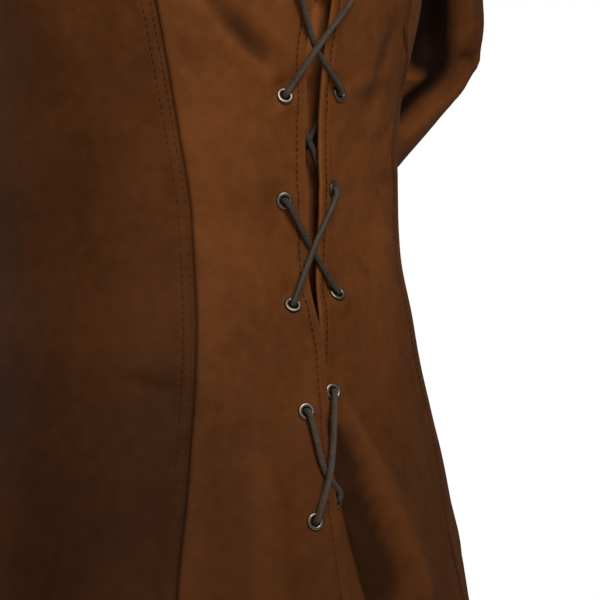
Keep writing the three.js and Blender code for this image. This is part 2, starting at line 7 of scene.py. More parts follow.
import bpy
import numpy as np
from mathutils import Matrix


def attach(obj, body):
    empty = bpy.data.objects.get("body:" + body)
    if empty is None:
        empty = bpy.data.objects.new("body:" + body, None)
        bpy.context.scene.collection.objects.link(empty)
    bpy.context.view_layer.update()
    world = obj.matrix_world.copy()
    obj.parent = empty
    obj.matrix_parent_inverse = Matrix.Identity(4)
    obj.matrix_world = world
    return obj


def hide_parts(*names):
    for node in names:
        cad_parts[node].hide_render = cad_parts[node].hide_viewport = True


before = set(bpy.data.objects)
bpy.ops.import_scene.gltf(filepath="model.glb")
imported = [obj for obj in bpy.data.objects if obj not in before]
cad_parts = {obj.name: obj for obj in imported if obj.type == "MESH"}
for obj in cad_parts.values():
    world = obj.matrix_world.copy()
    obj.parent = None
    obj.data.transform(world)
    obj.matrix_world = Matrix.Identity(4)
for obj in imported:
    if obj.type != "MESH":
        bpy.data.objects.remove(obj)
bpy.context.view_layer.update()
MM = 0.001

# %% [markdown]
# ## Camera, light and floor
# The tunic is seen from the wearer's left and a little from behind, through a long lens, so that the seams
# stay nearly parallel. A large soft light stands above and behind the left shoulder. A weak one fills the
# side that shows, and two more stand in front and on the far side. The floor lies as far under the hem as
# the wearer's feet would be.

# %% Camera
CAMERA = dict(azimuth=100.0, elevation=2.0, distance=2400.0, across=66.6, height=-477.6)
VIEW_WIDTH = 336.0  # millimetres that the frame spans at the tunic
SENSOR = 36.0


def direction(azimuth, elevation):
    a, e = np.radians([azimuth, elevation])
    return np.array([np.sin(a) * np.cos(e), -np.cos(a) * np.cos(e), np.sin(e)])


def look_from(obj, place, target):
    from mathutils import Vector

    obj.location = Vector(place)
    obj.rotation_euler = (Vector(target) - Vector(place)).to_track_quat("-Z", "Y").to_euler()


across = np.array([np.cos(np.radians(CAMERA["azimuth"])), np.sin(np.radians(CAMERA["azimuth"])), 0])
target = (across * CAMERA["across"] + np.array([0, 0, CAMERA["height"]])) * MM
camera_data = bpy.data.cameras.new("camera")
camera_data.sensor_width = SENSOR
camera_data.lens = SENSOR * CAMERA["distance"] / VIEW_WIDTH
camera_data.clip_end = 50
camera = bpy.data.objects.new("camera", camera_data)
place = target + direction(CAMERA["azimuth"], CAMERA["elevation"]) * CAMERA["distance"] * MM
look_from(camera, place, target)
bpy.context.collection.objects.link(camera)
bpy.context.scene.camera = camera
print("lens:", round(camera_data.lens, 1), "mm")

# %% Light and floor
WARM, PALE, WHITE = (1.0, 0.97, 0.92), (1.0, 0.98, 0.95), (1.0, 1.0, 1.0)
LIGHTS = [
    # name, azimuth, elevation, distance and size in metres, watts and colour
    ("key", 124, 44, 2.4, 1.1, 62, WARM),
    ("fill", 92, 8, 2.8, 1.6, 9, PALE),
    ("back", 290, 28, 2.6, 1.4, 20, WHITE),
    ("front", -8, 24, 2.8, 1.4, 30, WHITE),
]
FLOOR_Z, FLOOR_HALF = -1.45, 3


def feed(tree, node, inputs):
    """Gives each input of a node its value, or the socket that feeds it."""
    for key, value in inputs.items():
        if isinstance(value, bpy.types.NodeSocket):
            tree.links.new(value, node.inputs[key])
        else:
            node.inputs[key].default_value = value


def add_node(tree, kind, inputs=None, **settings):
    """A new node with its settings and inputs."""
    node = tree.nodes.new(kind)
    for key, value in settings.items():
        setattr(node, key, value)
    feed(tree, node, inputs or {})
    return node


for name, azimuth, elevation, distance, size, watts, colour in LIGHTS:
    data = bpy.data.lights.new(name, "AREA")
    data.size, data.energy, data.color = size, watts, colour
    light = bpy.data.objects.new(name, data)
    look_from(light, target + direction(azimuth, elevation) * distance, target)
    bpy.context.collection.objects.link(light)

# The camera sees plain white, and the tunic gets a weak light from all around.
world = bpy.data.worlds.new("studio")
bpy.context.scene.world = world
world.use_nodes = True
studio = world.node_tree
studio.nodes.clear()
seen = add_node(studio, "ShaderNodeBackground", {"Color": (1, 1, 1, 1), "Strength": 1.0})
lit = add_node(studio, "ShaderNodeBackground", {"Color": (1.0, 0.98, 0.96, 1), "Strength": 0.14})
ray = add_node(studio, "ShaderNodeLightPath").outputs["Is Camera Ray"]
shades = {"Fac": ray, 1: lit.outputs["Background"], 2: seen.outputs["Background"]}
both = add_node(studio, "ShaderNodeMixShader", shades).outputs["Shader"]
add_node(studio, "ShaderNodeOutputWorld", {"Surface": both})
bpy.context.scene.view_settings.view_transform = "Standard"

floor_mesh = bpy.data.meshes.new("floor")
corners = [(x * FLOOR_HALF, y * FLOOR_HALF, FLOOR_Z) for x, y in ((-1, -1), (1, -1), (1, 1), (-1, 1))]
floor_mesh.from_pydata(corners, [], [(0, 1, 2, 3)])
floor = bpy.data.objects.new("floor", floor_mesh)
bpy.context.collection.objects.link(floor)
floor_material = bpy.data.materials.new("pale_floor")
floor_material.use_nodes = True
floor_tree = floor_material.node_tree
pale = {"Base Color": (0.86, 0.86, 0.85, 1), "Roughness": 0.9}
feed(floor_tree, floor_tree.nodes["Principled BSDF"], pale)
floor_mesh.materials.append(floor_material)
print("lights:", len(LIGHTS), "floor at", FLOOR_Z)

# %% [markdown]
# ## The sizes of the tunic
# The tunic's outer face is an ellipse at each height, so two half widths and a few angles say where each
# seam runs. The tables hold the same named sizes as the part itself, and a smooth curve that never
# overshoots runs through each column.


# %% Tables of the body and the seams
def row_table(columns, *rows):
    return {name: np.array([row[i] for row in rows], float) for i, name in enumerate(columns)}


TORSO = row_table(
    ("z", "half_width", "half_depth"),
    (-850, 262, 206),
    (-740, 236, 182),
    (-646, 212, 160),
    (-612, 204, 154),
    (-562, 192, 144),
    (-520, 181, 133.6),
    (-487, 173, 127.4),
    (-450, 165, 121),
    (-430, 164, 120),
    (-403, 165, 120.2),
    (-380, 166, 121.2),
    (-363, 168, 123.4),
    (-343, 170, 128),
    (-310, 172, 133.5),
    (-250, 180, 136),
    (-215, 184, 134),
    (-170, 186, 128),
    (-120, 186, 120),
    (-80, 183, 105),
    (-50, 174, 86),
    (-28, 142, 80),
    (-10, 108, 77),
    (0, 88, 75),
)
ARMHOLE = dict(angle=91.0, half_angle=31.0, z=-128.0, half_height=80.0)
SIDE_SEAM = row_table(
    ("z", "angle"),
    (-850, 101),
    (-625, 104.4),
    (-556, 107.1),
    (-486, 109.2),
    (-432, 108.4),
    (-382, 105),
    (-316, 99.2),
    (-260, 94.5),
    (-208, 91),
)
LAP_UNDER = 1.9  # how far the back runs on under the lap, in degrees
LACED_EDGES = row_table(
    ("z", "side_back", "back"),
    (-850, 138.6, 138.6 - LAP_UNDER),
    (-629, 137.8, 137.8 - LAP_UNDER),
    (-578, 137.1, 137.1 - LAP_UNDER),
    (-547, 137.9, 137.9 - LAP_UNDER),
    (-522, 139, 137.2),
    (-503, 139.3, 139),
    (-484, 139, 140.3),
    (-455, 138.6, 141.4),
    (-413, 138.5, 142.7),
    (-367, 137.6, 142),
    (-340, 135.8, 140.9),
    (-314, 136.2, 141.5),
    (-285, 137.4, 141.2),
    (-262, 139.3, 139.8),
    (-240, 139.5, 139.6),
    (0, 139.5, 139.6),
)
CENTRE_BACK = row_table(
    ("z", "angle"),
    (-850, 180),
    (-640, 180.5),
    (-605, 177.6),
    (-560, 181),
    (-415, 181),
    (-393, 176.6),
    (-360, 180.5),
    (-346, 179.5),
    (-324, 172.5),
    (-280, 175),
    (-200, 180),
    (0, 180),
)
NECK = dict(front_drop=46.0, spread=34.0, reach=105.0)
HEM_Z = -850.0
MM_PER_DEGREE = 148 * np.pi / 180  # along a mean girth


def track(x, y):
    """A smooth curve through places x with values y that never swings past them."""
    slope = np.diff(y) / np.diff(x)
    tangent = np.zeros_like(y)
    tangent[0], tangent[-1] = slope[0], slope[-1]
    same = slope[:-1] * slope[1:] > 0
    with np.errstate(divide="ignore", invalid="ignore"):
        mean = 2 * slope[:-1] * slope[1:] / (slope[:-1] + slope[1:])
    tangent[1:-1] = np.where(same, mean, 0)

    def at(value):
        t = np.clip(value, x[0], x[-1])
        i = np.clip(np.searchsorted(x, t, side="right") - 1, 0, len(x) - 2)
        span = x[i + 1] - x[i]
        s = (t - x[i]) / span
        rise, fall = tangent[i] * span, tangent[i + 1] * span
        base = y[i] + s * (rise + s * (-2 * rise - fall + s * (rise + fall)))
        return base + (y[i + 1] - y[i]) * s * s * (3 - 2 * s)

    return at


def smooth(low, high, x):
    s = np.clip((x - low) / (high - low), 0, 1)
    return s * s * (3 - 2 * s)
def bell(x, width):
    return np.exp(-((x / width) ** 2))


def unit(vectors):
    return vectors / np.maximum(np.linalg.norm(vectors, axis=-1, keepdims=True), 1e-12)


def wrapped(angle):
    return (angle + 180) % 360 - 180


def circle(count):
    return np.arange(count) * 2 * np.pi / count


def spaced(low, high, step):
    return np.linspace(low, high, max(2, int(round((high - low) / step)) + 1))

def columns(table):
    """A curve over the height through each other column of a table."""
    return [track(table["z"], values) for key, values in table.items() if key != "z"]


half_width, half_depth = columns(TORSO)
(side_seam,), (centre_back,) = columns(SIDE_SEAM), columns(CENTRE_BACK)
side_back_edge, back_edge = columns(LACED_EDGES)
print("girth at the waist:", round(float(np.pi * (half_width(-430.0) + half_depth(-430.0)))), "mm")

# %% [markdown]
# ## Creases
# Leather of this weight bends in soft, wide folds. Each row below is one ridge or trough, drawn as a line on
# the cloth with its own length, width and depth. The first rows are the large folds of the solids, and the
# rest are smaller ones. The far side of the body has similar ones, but not the same.

# %% Table of creases
# Angle and height at both ends of each fold, then its width and depth.
LARGE_FOLDS = [
    (143.6, -580, 149, -650, 10, -5.5),  # the drape's valley
    (149, -650, 152, -880, 20, -9),  # and on down to the hem
    (145, -545, 160, -640, 15, 4.5),  # the ridge beside it
    (121, -540, 119, -880, 15, 4),
    (114, -530, 113, -880, 12, -3),
    (108, -300, 127, -350, 11, -3),  # pulls towards the lacing
    (101, -338, 115, -356, 9, -2.2),
    (161, -378, 167, -322, 9, -3),  # the hollow of the back above the waist
    (22, -560, 20, -880, 24, -8),
    (62, -560, 60, -880, 24, 8),
]
LEFT_FOLDS = [
    (140.2, -534, 144.9, -594, 7.5, -9.0),  # the valley's upper end, beside the lowest eyelets
    (144.2, -584, 148.2, -645, 7, -4.0),
    (143, -545, 155, -636, 9, -7.0),
    (145, -530, 161.5, -638, 4.5, 3.2),
    (106, -304, 129, -352, 6, -1.9),
    (116, -312, 133, -346, 6, 1.8),
    (152, -360, 170, -352, 5, 1.6),  # the raised U below the shoulder blade
    (150, -372, 158, -384, 5, 1.2),
    (163, -392, 176, -384, 6, -1.6),
    (104, -318, 118, -322, 6, 1.2),
    (112, -330, 130, -366, 5, 1.2),
    (118, -312, 131, -336, 7, -1.4),
    (104, -372, 112, -366, 7, -0.8),
    (112, -420, 128, -412, 9, 0.8),
    (111, -455, 124, -470, 8, -0.7),
    (146, -430, 160, -444, 9, -1.0),
    (150, -470, 168, -500, 10, 1.2),
    (100, -470, 97, -640, 12, -1.6),
    (92, -400, 84, -430, 10, -1.0),
    (91, -512, 106, -519, 5, -1.8),
    (88, -340, 98, -322, 9, 1.0),
    (168, -410, 179, -416, 5, -1.8),
    (167, -440, 179, -446, 6, 1.4),
]
RIGHT_FOLDS = [
    (142, -556, 147, -600, 9, -2.2),
    (150, -366, 168, -358, 6, 1.3),
    (160, -398, 175, -392, 7, -1.4),
    (110, -326, 128, -360, 6, 1.1),
    (116, -306, 130, -330, 8, -1.3),
    (108, -430, 126, -420, 9, 0.9),
    (98, -480, 96, -640, 12, -1.5),
    (148, -440, 164, -452, 9, -1.0),
    (90, -350, 100, -330, 9, 1.0),
]
CENTRE_FADE = (173, 179.5)  # angles between which the small folds end, short of the centre back


def crease(line, place, width):
    """1 on a line that starts at (0, 0), fading across it and at both of its ends."""
    length = np.hypot(*line)
    run = (place[0] * line[0] + place[1] * line[1]) / length
    off = (place[0] * line[1] - place[1] * line[0]) / length
    ends = smooth(-width, 2 * width, run) * (1 - smooth(length - 2 * width, length + width, run))
    return ends * bell(off, width)


def fold_height(angle, z):
    """How far the folds push the leather out."""
    angle = wrapped(np.asarray(angle, float))
    total = np.zeros(np.broadcast(angle, z).shape)
    off_centre = 1 - smooth(*CENTRE_FADE, np.abs(angle))
    for side, rows in ((0, LARGE_FOLDS), (1, LEFT_FOLDS), (-1, RIGHT_FOLDS)):
        here = np.ones_like(total) if side == 0 else (np.sign(angle) == side) * off_centre
        for a0, z0, a1, z1, width, depth in rows:
            line = (a1 - a0) * MM_PER_DEGREE, z1 - z0
            place = (np.abs(angle) - a0) * MM_PER_DEGREE, z - z0
            total += here * depth * crease(line, place, width)
    return total


RIPPLE = dict(height=0.16, shortest=34, spread=60, sway=1.3, sway_length=47)
RIPPLES = np.random.default_rng(11).uniform(size=(9, 4))


def ripple(angle, z):
    """The slight unevenness of skins that were worn."""
    total = 0.0
    for turn, size, phase, bend in RIPPLES:
        wave = RIPPLE["shortest"] + RIPPLE["spread"] * size
        run = np.cos(turn * np.pi) * angle * MM_PER_DEGREE + np.sin(turn * np.pi) * z
        sway = RIPPLE["sway"] * np.sin(z / RIPPLE["sway_length"] + 6 * bend)
        total = total + RIPPLE["height"] * np.sin(2 * np.pi * run / wave + 6 * phase + sway)
    return total


def torso_out(angle, z):
    """The way the torso faces without its folds."""
    turn, flat = np.radians(angle), np.zeros(np.broadcast(angle, z).shape)
    x, y = np.sin(turn) / half_width(z) + flat, -np.cos(turn) / half_depth(z) + flat
    return unit(np.stack([x, y, flat], -1))


def on_torso(angle, z, lift=0.0):
    """Points of the tunic's outer face."""
    angle, z = np.broadcast_arrays(np.asarray(angle, float), np.asarray(z, float))
    turn = np.radians(angle)
    raised = fold_height(angle, z) + ripple(angle, z) + lift
    face = np.stack([half_width(z) * np.sin(turn), -half_depth(z) * np.cos(turn), z], -1)
    return face + torso_out(angle, z) * raised[..., None]


print("folds:", len(LARGE_FOLDS) + len(LEFT_FOLDS) + len(RIGHT_FOLDS))

# %% [markdown]
# ## What happens at edges
# A side seam is pressed to the front and sewn down with two rows, so the front stands up beside it. The
# edges of the slit are folded back and sewn six millimetres in, which leaves a plump, rounded edge. An eyelet
# pulls the leather in around itself.

# %% Distances from the seams
PITCH = 3.9  # length of one stitch and its hole
SLIT_ROW, BACK_ROW, SIDE_ROWS, HEM_ROW = 6.0, 4.0, (2.8, 7.3), 18.0
# The relief beside each kind of edge. The turned edge stands out and ends between two distances, its rows of
# stitches pull it in, the seam itself is a groove, and a roll with a slow wave runs along it.
SEAM_COLUMNS = "stand ends rows row_width row_depth pull groove groove_width "
SEAM_COLUMNS += "roll roll_at roll_width wave seed"
SEAMS = {
    "topstitched": (0.75, (8.5, 11.5), SIDE_ROWS, 0.8, 0.42, 0.2, 0.6, 0.8, 0, 5, 4, 0.12, 1.0),
    "slit": (0.35, (8.5, 12), (SLIT_ROW,), 0.9, 0.5, 0.25, 0, 1, 0.45, 2.2, 2, 0.12, 2.0),
    "centre back": (0.3, (6, 9), (BACK_ROW,), 0.8, 0.35, 0.15, 0.7, 1.0, 0, 0, 7, 0.15, 4.0),
    "plain": (0, (1, 2), (), 1, 0, 0, 0.5, 0.9, 0, 0, 8, 0.22, 3.0),
}
SEAMS = {kind: dict(zip(SEAM_COLUMNS.split(), row)) for kind, row in SEAMS.items()}
LAP = dict(top=-462.0, full=-505.0, fade=24.0, flat=3.0, lift=3.5)
EYELETS = row_table(
    ("side_angle", "side_z", "back_angle", "back_z"),
    (130.6, -308.7, 147.2, -308.5),
    (131.6, -365.2, 148, -363.2),
    (132.5, -420.5, 147.4, -415),
    (133.1, -475.5, 146.9, -470.2),
    (133.4, -531.1, 141.9, -521.9),
    (132.2, -587.9, 138.4, -577.6),
)


def mm_per_degree(angle, z):
    a = np.radians(angle)
    return np.hypot(half_width(z) * np.cos(a), half_depth(z) * np.sin(a)) * np.pi / 180


def side_edge(z, towards_back):
    """The side seam, then the armhole, then the shoulder seam."""
    rise = (np.asarray(z, float) - ARMHOLE["z"]) / ARMHOLE["half_height"]
    round_hole = ARMHOLE["angle"] + towards_back * ARMHOLE["half_angle"] * np.sqrt(np.clip(1 - rise**2, 0, 1))
    return np.where(rise <= -1, side_seam(z), round_hole)


def neck_z(angle, z):
    return z - NECK["front_drop"] * bell(angle, NECK["spread"]) * smooth(-NECK["reach"], 0, z)


def lap_lift(angle, z):
    inside = (side_back_edge(z) - np.abs(angle)) * MM_PER_DEGREE
    fading = 1 - smooth(LAP["flat"], LAP["fade"], inside)
    return LAP["lift"] * (1 - smooth(LAP["full"], LAP["top"], z)) * fading


def bump_row(distance, at, width, depth):
    return depth * bell(distance - at, width)


def pucker(z):
    return 0.5 + 0.5 * np.cos(2 * np.pi * z / PITCH)


def uneven(z, seed):
    """A slow wave along a seam that never repeats within it."""
    return np.sin(z / 17.0 + seed) * np.sin(z / 7.3 + 2.1 * seed) + 0.5 * np.sin(z / 4.1 + 3.3 * seed)


def sewn_edge(distance, z, kind):
    """The relief beside an edge, from the distance to it."""
    d, seam = np.maximum(distance, 0), SEAMS[kind]
    relief = seam["stand"] * (1 - smooth(*seam["ends"], d)) - seam["groove"] * bell(d, seam["groove_width"])
    roll = seam["roll"] + seam["wave"] * uneven(z, seam["seed"])
    relief = relief + bump_row(d, seam["roll_at"], seam["roll_width"], roll)
    for at in seam["rows"]:
        relief = relief - bump_row(d, at, seam["row_width"], seam["row_depth"] + seam["pull"] * pucker(z))
    return relief


# How steeply the laces tip each eyelet, across and up the cloth, from the top one down.
TIPS = {
    "side": [(0.2, 0.0), (0.42, -0.70), (0.40, 0.0), (0.42, -0.55), (0.24, 0.12), (0.10, 0.12)],
    "back": [(0.0, 0.0), (0.20, -0.30), (-0.05, 0.05), (0.35, -0.60), (0.50, 0.0), (-0.10, 0.05)],
}


DIMPLE = dict(reach=7.5, depth=0.3, width=6.5)
RAYS = dict(count=5, height=0.22, at=9, width=4)


def dimple(angle, z, column):
    """The leather drawn in and tipped around each eyelet of a column, and small rays around it."""
    total = np.zeros(np.broadcast(angle, z).shape)
    for a0, z0, tip in zip(EYELETS[column + "_angle"], EYELETS[column + "_z"], TIPS[column]):
        dx, dz = (np.abs(angle) - a0) * MM_PER_DEGREE, z - z0
        r, turn = np.hypot(dx, dz), np.arctan2(dz, dx)
        total += (tip[0] * dx + tip[1] * dz) * bell(r, DIMPLE["reach"])
        total -= DIMPLE["depth"] * bell(r, DIMPLE["width"])
        total += np.sin(RAYS["count"] * turn + z0) * bump_row(r, RAYS["at"], RAYS["width"], RAYS["height"])
    return total


print("eyelets to set:", 4 * len(EYELETS["side_z"]))

# %% [markdown]
# ## Panels
# Each panel of the body lies between two edges. One small table says where the edges are, how each is sewn,
# which eyelets go through it and how light it is, which is partly its skin's tone and partly painted shade,
# and both sides of the body use it. The points of a panel are closer together beside the slit, where the
# fold, the stitches and the eyelets are.

# %% Panel table and surface
HEM_TOP = HEM_Z + HEM_ROW


def front_side(z):
    return side_edge(z, -1)


def back_side(z):
    return side_edge(z, 1)


def far_centre_back(z):
    return 360 - centre_back(z)


# The last three columns are how light a skin is, which is partly its own tone and partly painted shade, how
# much painted shade darkens it towards the hem, and the height where that painted shade starts.
PANEL_COLUMNS = "low low_kind high high_kind eyelets light loss start"
PANELS = {
    "front": (None, None, front_side, "topstitched", None, 0.62, 0.62, -340),
    "side_back": (back_side, "plain", side_back_edge, "slit", "side", 0.87, 0.48, -400),
    "back": (back_edge, "slit", centre_back, "plain", "back", 0.88, 0.42, -400),
    "back_right": (back_edge, "slit", far_centre_back, "centre back", "back", 0.90, 0.36, -400),
}
PANELS = {panel: dict(zip(PANEL_COLUMNS.split(), row)) for panel, row in PANELS.items()}
# Painted shade: the height where the painted shade towards the hem is full, and the painted shade that
# darkens both sleeves.
HEM_SHADE_FULL_Z, SLEEVE_SHADE = -610, 0.82
SLIT_TOP, SLIT_FADE = -240.0, 24  # above it the two panels are simply sewn together


def edge_relief(distance, z, kind):
    if kind != "slit":
        return sewn_edge(distance, z, kind)
    open_part = 1 - smooth(SLIT_TOP, SLIT_TOP + SLIT_FADE, z)
    return open_part * sewn_edge(distance, z, "slit") + (1 - open_part) * sewn_edge(distance, z, "plain")


def panel_lift(panel, angle, z):
    row = PANELS[panel]
    size = mm_per_degree(angle, z)
    total = edge_relief((row["high"](z) - np.abs(angle)) * size, z, row["high_kind"])
    if row["low"]:
        total = total + edge_relief((np.abs(angle) - row["low"](z)) * size, z, row["low_kind"])
    if row["eyelets"]:
        total = total + dimple(angle, z, row["eyelets"])
    if row["eyelets"] == "side":
        total = total + lap_lift(angle, z)
    hem = 0.5 * (1 - smooth(HEM_ROW, HEM_ROW + 3, z - HEM_Z)) + bump_row(z, HEM_TOP, 1.0, -0.5)
    return total + hem


def on_panel(panel, angle, z, lift=0.0):
    return on_torso(angle, z, panel_lift(panel, angle, z) + lift)


def outwards(panel, angle, z, step=0.35):
    round_ = on_panel(panel, angle + step, z) - on_panel(panel, angle - step, z)
    up = on_panel(panel, angle, z + step) - on_panel(panel, angle, z - step)
    return unit(np.cross(round_, up))


# Between which heights the levels have which step. They are closest at the hem's row and at the lacing, and
# more of them follow the curve of the armhole.
LEVEL_STEPS = row_table(
    ("low", "high", "step"),
    (HEM_Z, -836, 2),
    (-836, -826, 1),
    (-826, -625, 3.2),
    (-625, -240, 1.9),
    (-240, -208, 3),
    (-48, 0, 2.4),
)
hole = ARMHOLE["z"] - ARMHOLE["half_height"] * np.cos(np.linspace(0, np.pi, 49))
LEVELS = np.unique(np.concatenate([*(spaced(*row) for row in zip(*LEVEL_STEPS.values())), hole]))
print("levels:", len(LEVELS))


# %% Shells with a rounded edge
def mesh_object(name, verts, faces, attributes=None):
    """A smooth mesh with a value for each point in each attribute. The tone, which holds painted shade too,
    is 1 if none is given.
    """
    mesh = bpy.data.meshes.new(name)
    mesh.from_pydata((np.asarray(verts, float) * MM).tolist(), [], faces)
    mesh.update()
    mesh.shade_smooth()
    attributes = {"tone_and_shade": np.ones(len(verts)), **(attributes or {})}
    for key, values in attributes.items():
        data = mesh.attributes.new(key, "FLOAT", "POINT")
        data.data.foreach_set("value", np.asarray(values, np.float32))
    obj = bpy.data.objects.new(name, mesh)
    bpy.context.collection.objects.link(obj)
    return obj


def rim_loops(rows, cols, closed):
    """The boundary of a grid as indices, counterclockwise from outside."""
    index = np.arange(rows * cols).reshape(rows, cols)
    if closed:
        return [index[0], index[-1][::-1]]
    return [np.concatenate([index[0, :-1], index[:-1, -1], index[-1, :0:-1], index[:0:-1, 0]])]


RIM_TURNS = (45, 0, -45)


def shell(name, grid, out, thickness, closed=False, bulge=0.5, attributes=None):
    """A wall with rounded edges on a grid of points, whose rows run up and whose columns run round."""
    rows, cols = grid.shape[:2]
    face, normal = grid.reshape(-1, 3), out.reshape(-1, 3)
    verts = [face, face - normal * thickness]
    values = {key: [np.ravel(value)] * 2 for key, value in (attributes or {}).items()}
    count = rows * cols
    r, c = np.meshgrid(np.arange(rows - 1), np.arange(cols if closed else cols - 1), indexing="ij")
    a, b = r * cols + c, r * cols + (c + 1) % cols
    quads = np.stack([a, b, b + cols, a + cols], -1).reshape(-1, 4)
    faces = [quads, quads[:, ::-1] + count]
    total = 2 * count
    for loop in rim_loops(rows, cols, closed):
        ring = face[loop]
        tangent = unit(np.roll(ring, -1, 0) - np.roll(ring, 1, 0))
        away = unit(np.cross(tangent, normal[loop]))
        middle = ring - normal[loop] * thickness / 2
        bands = [loop]
        for turn in np.radians(RIM_TURNS):
            verts.append(middle + away * bulge * np.cos(turn) + normal[loop] * np.sin(turn) * thickness / 2)
            for key, value in (attributes or {}).items():
                values[key].append(np.ravel(value)[loop])
            bands.append(total + np.arange(len(loop)))
            total += len(loop)
        bands.append(loop + count)
        for first, second in zip(bands[:-1], bands[1:]):
            faces.append(np.stack([first, second, np.roll(second, -1), np.roll(first, -1)], -1))
    joined = {key: np.concatenate(value) for key, value in values.items()}
    return mesh_object(name, np.concatenate(verts), np.concatenate(faces).tolist(), joined)


def cut_size(grid, closed=False):
    """The flat width, length and area of a panel before it was bent, in metres."""
    ring = np.concatenate([grid, grid[:, :1]], 1) if closed else grid
    width = np.linalg.norm(np.diff(ring, axis=1), axis=-1).sum(1).max()
    length = np.linalg.norm(np.diff(ring, axis=0), axis=-1).sum(0).max()
    across, up = ring[:-1, 1:] - ring[:-1, :-1], ring[1:, :-1] - ring[:-1, :-1]
    area = np.linalg.norm(np.cross(across, up), axis=-1).sum()
    return round(float(width) * MM, 3), round(float(length) * MM, 3), round(float(area) * MM * MM, 4)


def declare(obj, names, material=None):
    """Hangs a piece on the root body, hides the parts of the model that it stands for, and gives it its
    material.
    """
    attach(obj, "root")
    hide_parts(*names)
    if material:
        obj.data.materials.append(material)


def declare_sheet(obj, name, grid, closed=False):
    declare(obj, [name])
    width, length, area = cut_size(grid, closed)
    area = min(area, width * length)
    print(obj.name, "cut", width, "x", length, "m,", area, "m2,", len(obj.data.polygons), "faces")


WALL = 1.8
EDGE_INSET = 0.3  # the rolled edge fills it
SEWN_EDGE, PLAIN_EDGE = (27.0, 1.0), (12.0, 1.5)  # how far in the points are closer together, and their step


def edge_spacing(width, step, *sewn):
    """Shares of a panel's width, closer together beside its edges, and most where they are sewn back."""
    low, high = (np.arange(0, *(SEWN_EDGE if back else PLAIN_EDGE)) for back in sewn)
    high = width - high[::-1]
    return np.unique(np.round(np.concatenate([low, spaced(low[-1], high[0], step), high]) / width, 6))


def panel_grid(panel, side):
    """Angles, heights, points and normals of one panel. side is 1 for the left, -1 for the right."""
    row = PANELS[panel]
    width, step = (440, 4.5) if panel == "front" else (110, 3.5)
    shares = edge_spacing(width, step, row["low_kind"] == "slit", row["high_kind"] == "slit")
    high = row["high"](LEVELS)
    low = row["low"](LEVELS) if row["low"] else -high
    inset = EDGE_INSET / mm_per_degree(high, LEVELS)
    low, high = low + inset, high - inset
    if side < 0:
        low, high, shares = -high, -low, 1 - shares[::-1]
    angle = low[:, None] + (high - low)[:, None] * shares[None]
    z = neck_z(angle, LEVELS[:, None] + 0 * angle)
    return angle, z, on_panel(panel, angle, z), outwards(panel, angle, z)


# How strong a mask is beside the kinds of edges, and how wide. The rubbed mask is wear and a painted
# highlight, and the deep mask is painted shade along the seams.
RUBBED_AND_HIGHLIT_EDGES = dict(kinds={"slit": 0.55, "topstitched": 0.2}, width=1.7)
SHADED_SEAM_EDGES = dict(kinds={"plain": 0.8, "topstitched": 0.8, "centre back": 0.8}, width=1.4)


def edge_mask(panel, angle, z, edges):
    row, total = PANELS[panel], 0.0
    for key in ("low", "high"):
        if row[key + "_kind"] in edges["kinds"]:
            distance = (row[key](z) - np.abs(angle)) * mm_per_degree(angle, z)
            total = total + edges["kinds"][row[key + "_kind"]] * bell(distance, edges["width"])
    return total


def panel_masks(panel, angle, z):
    """Where the leather is rubbed and painted lighter, where painted shade lies deep, and how light it is.

    It is rubbed on folded edges and the tops of folds, and this lighter colour is also a painted highlight.
    Painted shade darkens the fold valleys and the seams; folds in front and near the hem are hardly darker.
    The lightness is partly each skin's tone and partly painted shade, with more painted shade towards the
    hem."""
    row, height = PANELS[panel], fold_height(angle, z)
    # Wear and a painted highlight on the slit edges, beside the turned seam and on the tops of folds.
    rubbed_and_highlight = 0.3 * smooth(0.6, 4.0, height) + edge_mask(panel, angle, z, RUBBED_AND_HIGHLIT_EDGES)
    fold_shade_share = 0.25 + 0.75 * smooth(80, 110, np.abs(angle)) * smooth(-740, -640, z)
    # Painted shade in the fold valleys, weak in front and near the hem, and along the seams.
    deep = fold_shade_share * smooth(1.0, 5.5, -height) + edge_mask(panel, angle, z, SHADED_SEAM_EDGES)
    # Painted shade: each panel's lightness is partly its skin's tone and partly painted shade, and painted
    # shade darkens it more towards the hem.
    tone_and_shade = row["light"] * (1 - row["loss"] * (1 - smooth(HEM_SHADE_FULL_Z, row["start"], z)))
    return dict(wear_and_highlight=np.clip(rubbed_and_highlight, 0, 1), deep=np.clip(deep, 0, 1), tone_and_shade=tone_and_shade)


print("wall:", WALL, "mm")

# %% [markdown]
# ## Materials
# Garment leather is a smooth hide with a fine grain and a soft sheen, and its colour wanders from patch to
# patch. One shared group makes the grain and one the wandering colour. The suede, the laces and the metal
# use the same groups with other sizes.


# %% Shader groups
def new_group(name, inputs, output):
    """A group with a vector, some numbers and one output, and the nodes at its two ends."""
    tree = bpy.data.node_groups.new(name, "ShaderNodeTree")
    tree.interface.new_socket("Vector", in_out="INPUT", socket_type="NodeSocketVector")
    for label, value in inputs.items():
        socket = tree.interface.new_socket(label, in_out="INPUT", socket_type="NodeSocketFloat")
        socket.default_value = value
    tree.interface.new_socket(output, in_out="OUTPUT", socket_type="NodeSocketFloat")
    return tree, tree.nodes.new("NodeGroupInput"), tree.nodes.new("NodeGroupOutput")


def math_node(tree, operation, first, second):
    return add_node(tree, "ShaderNodeMath", {0: first, 1: second}, operation=operation).outputs[0]


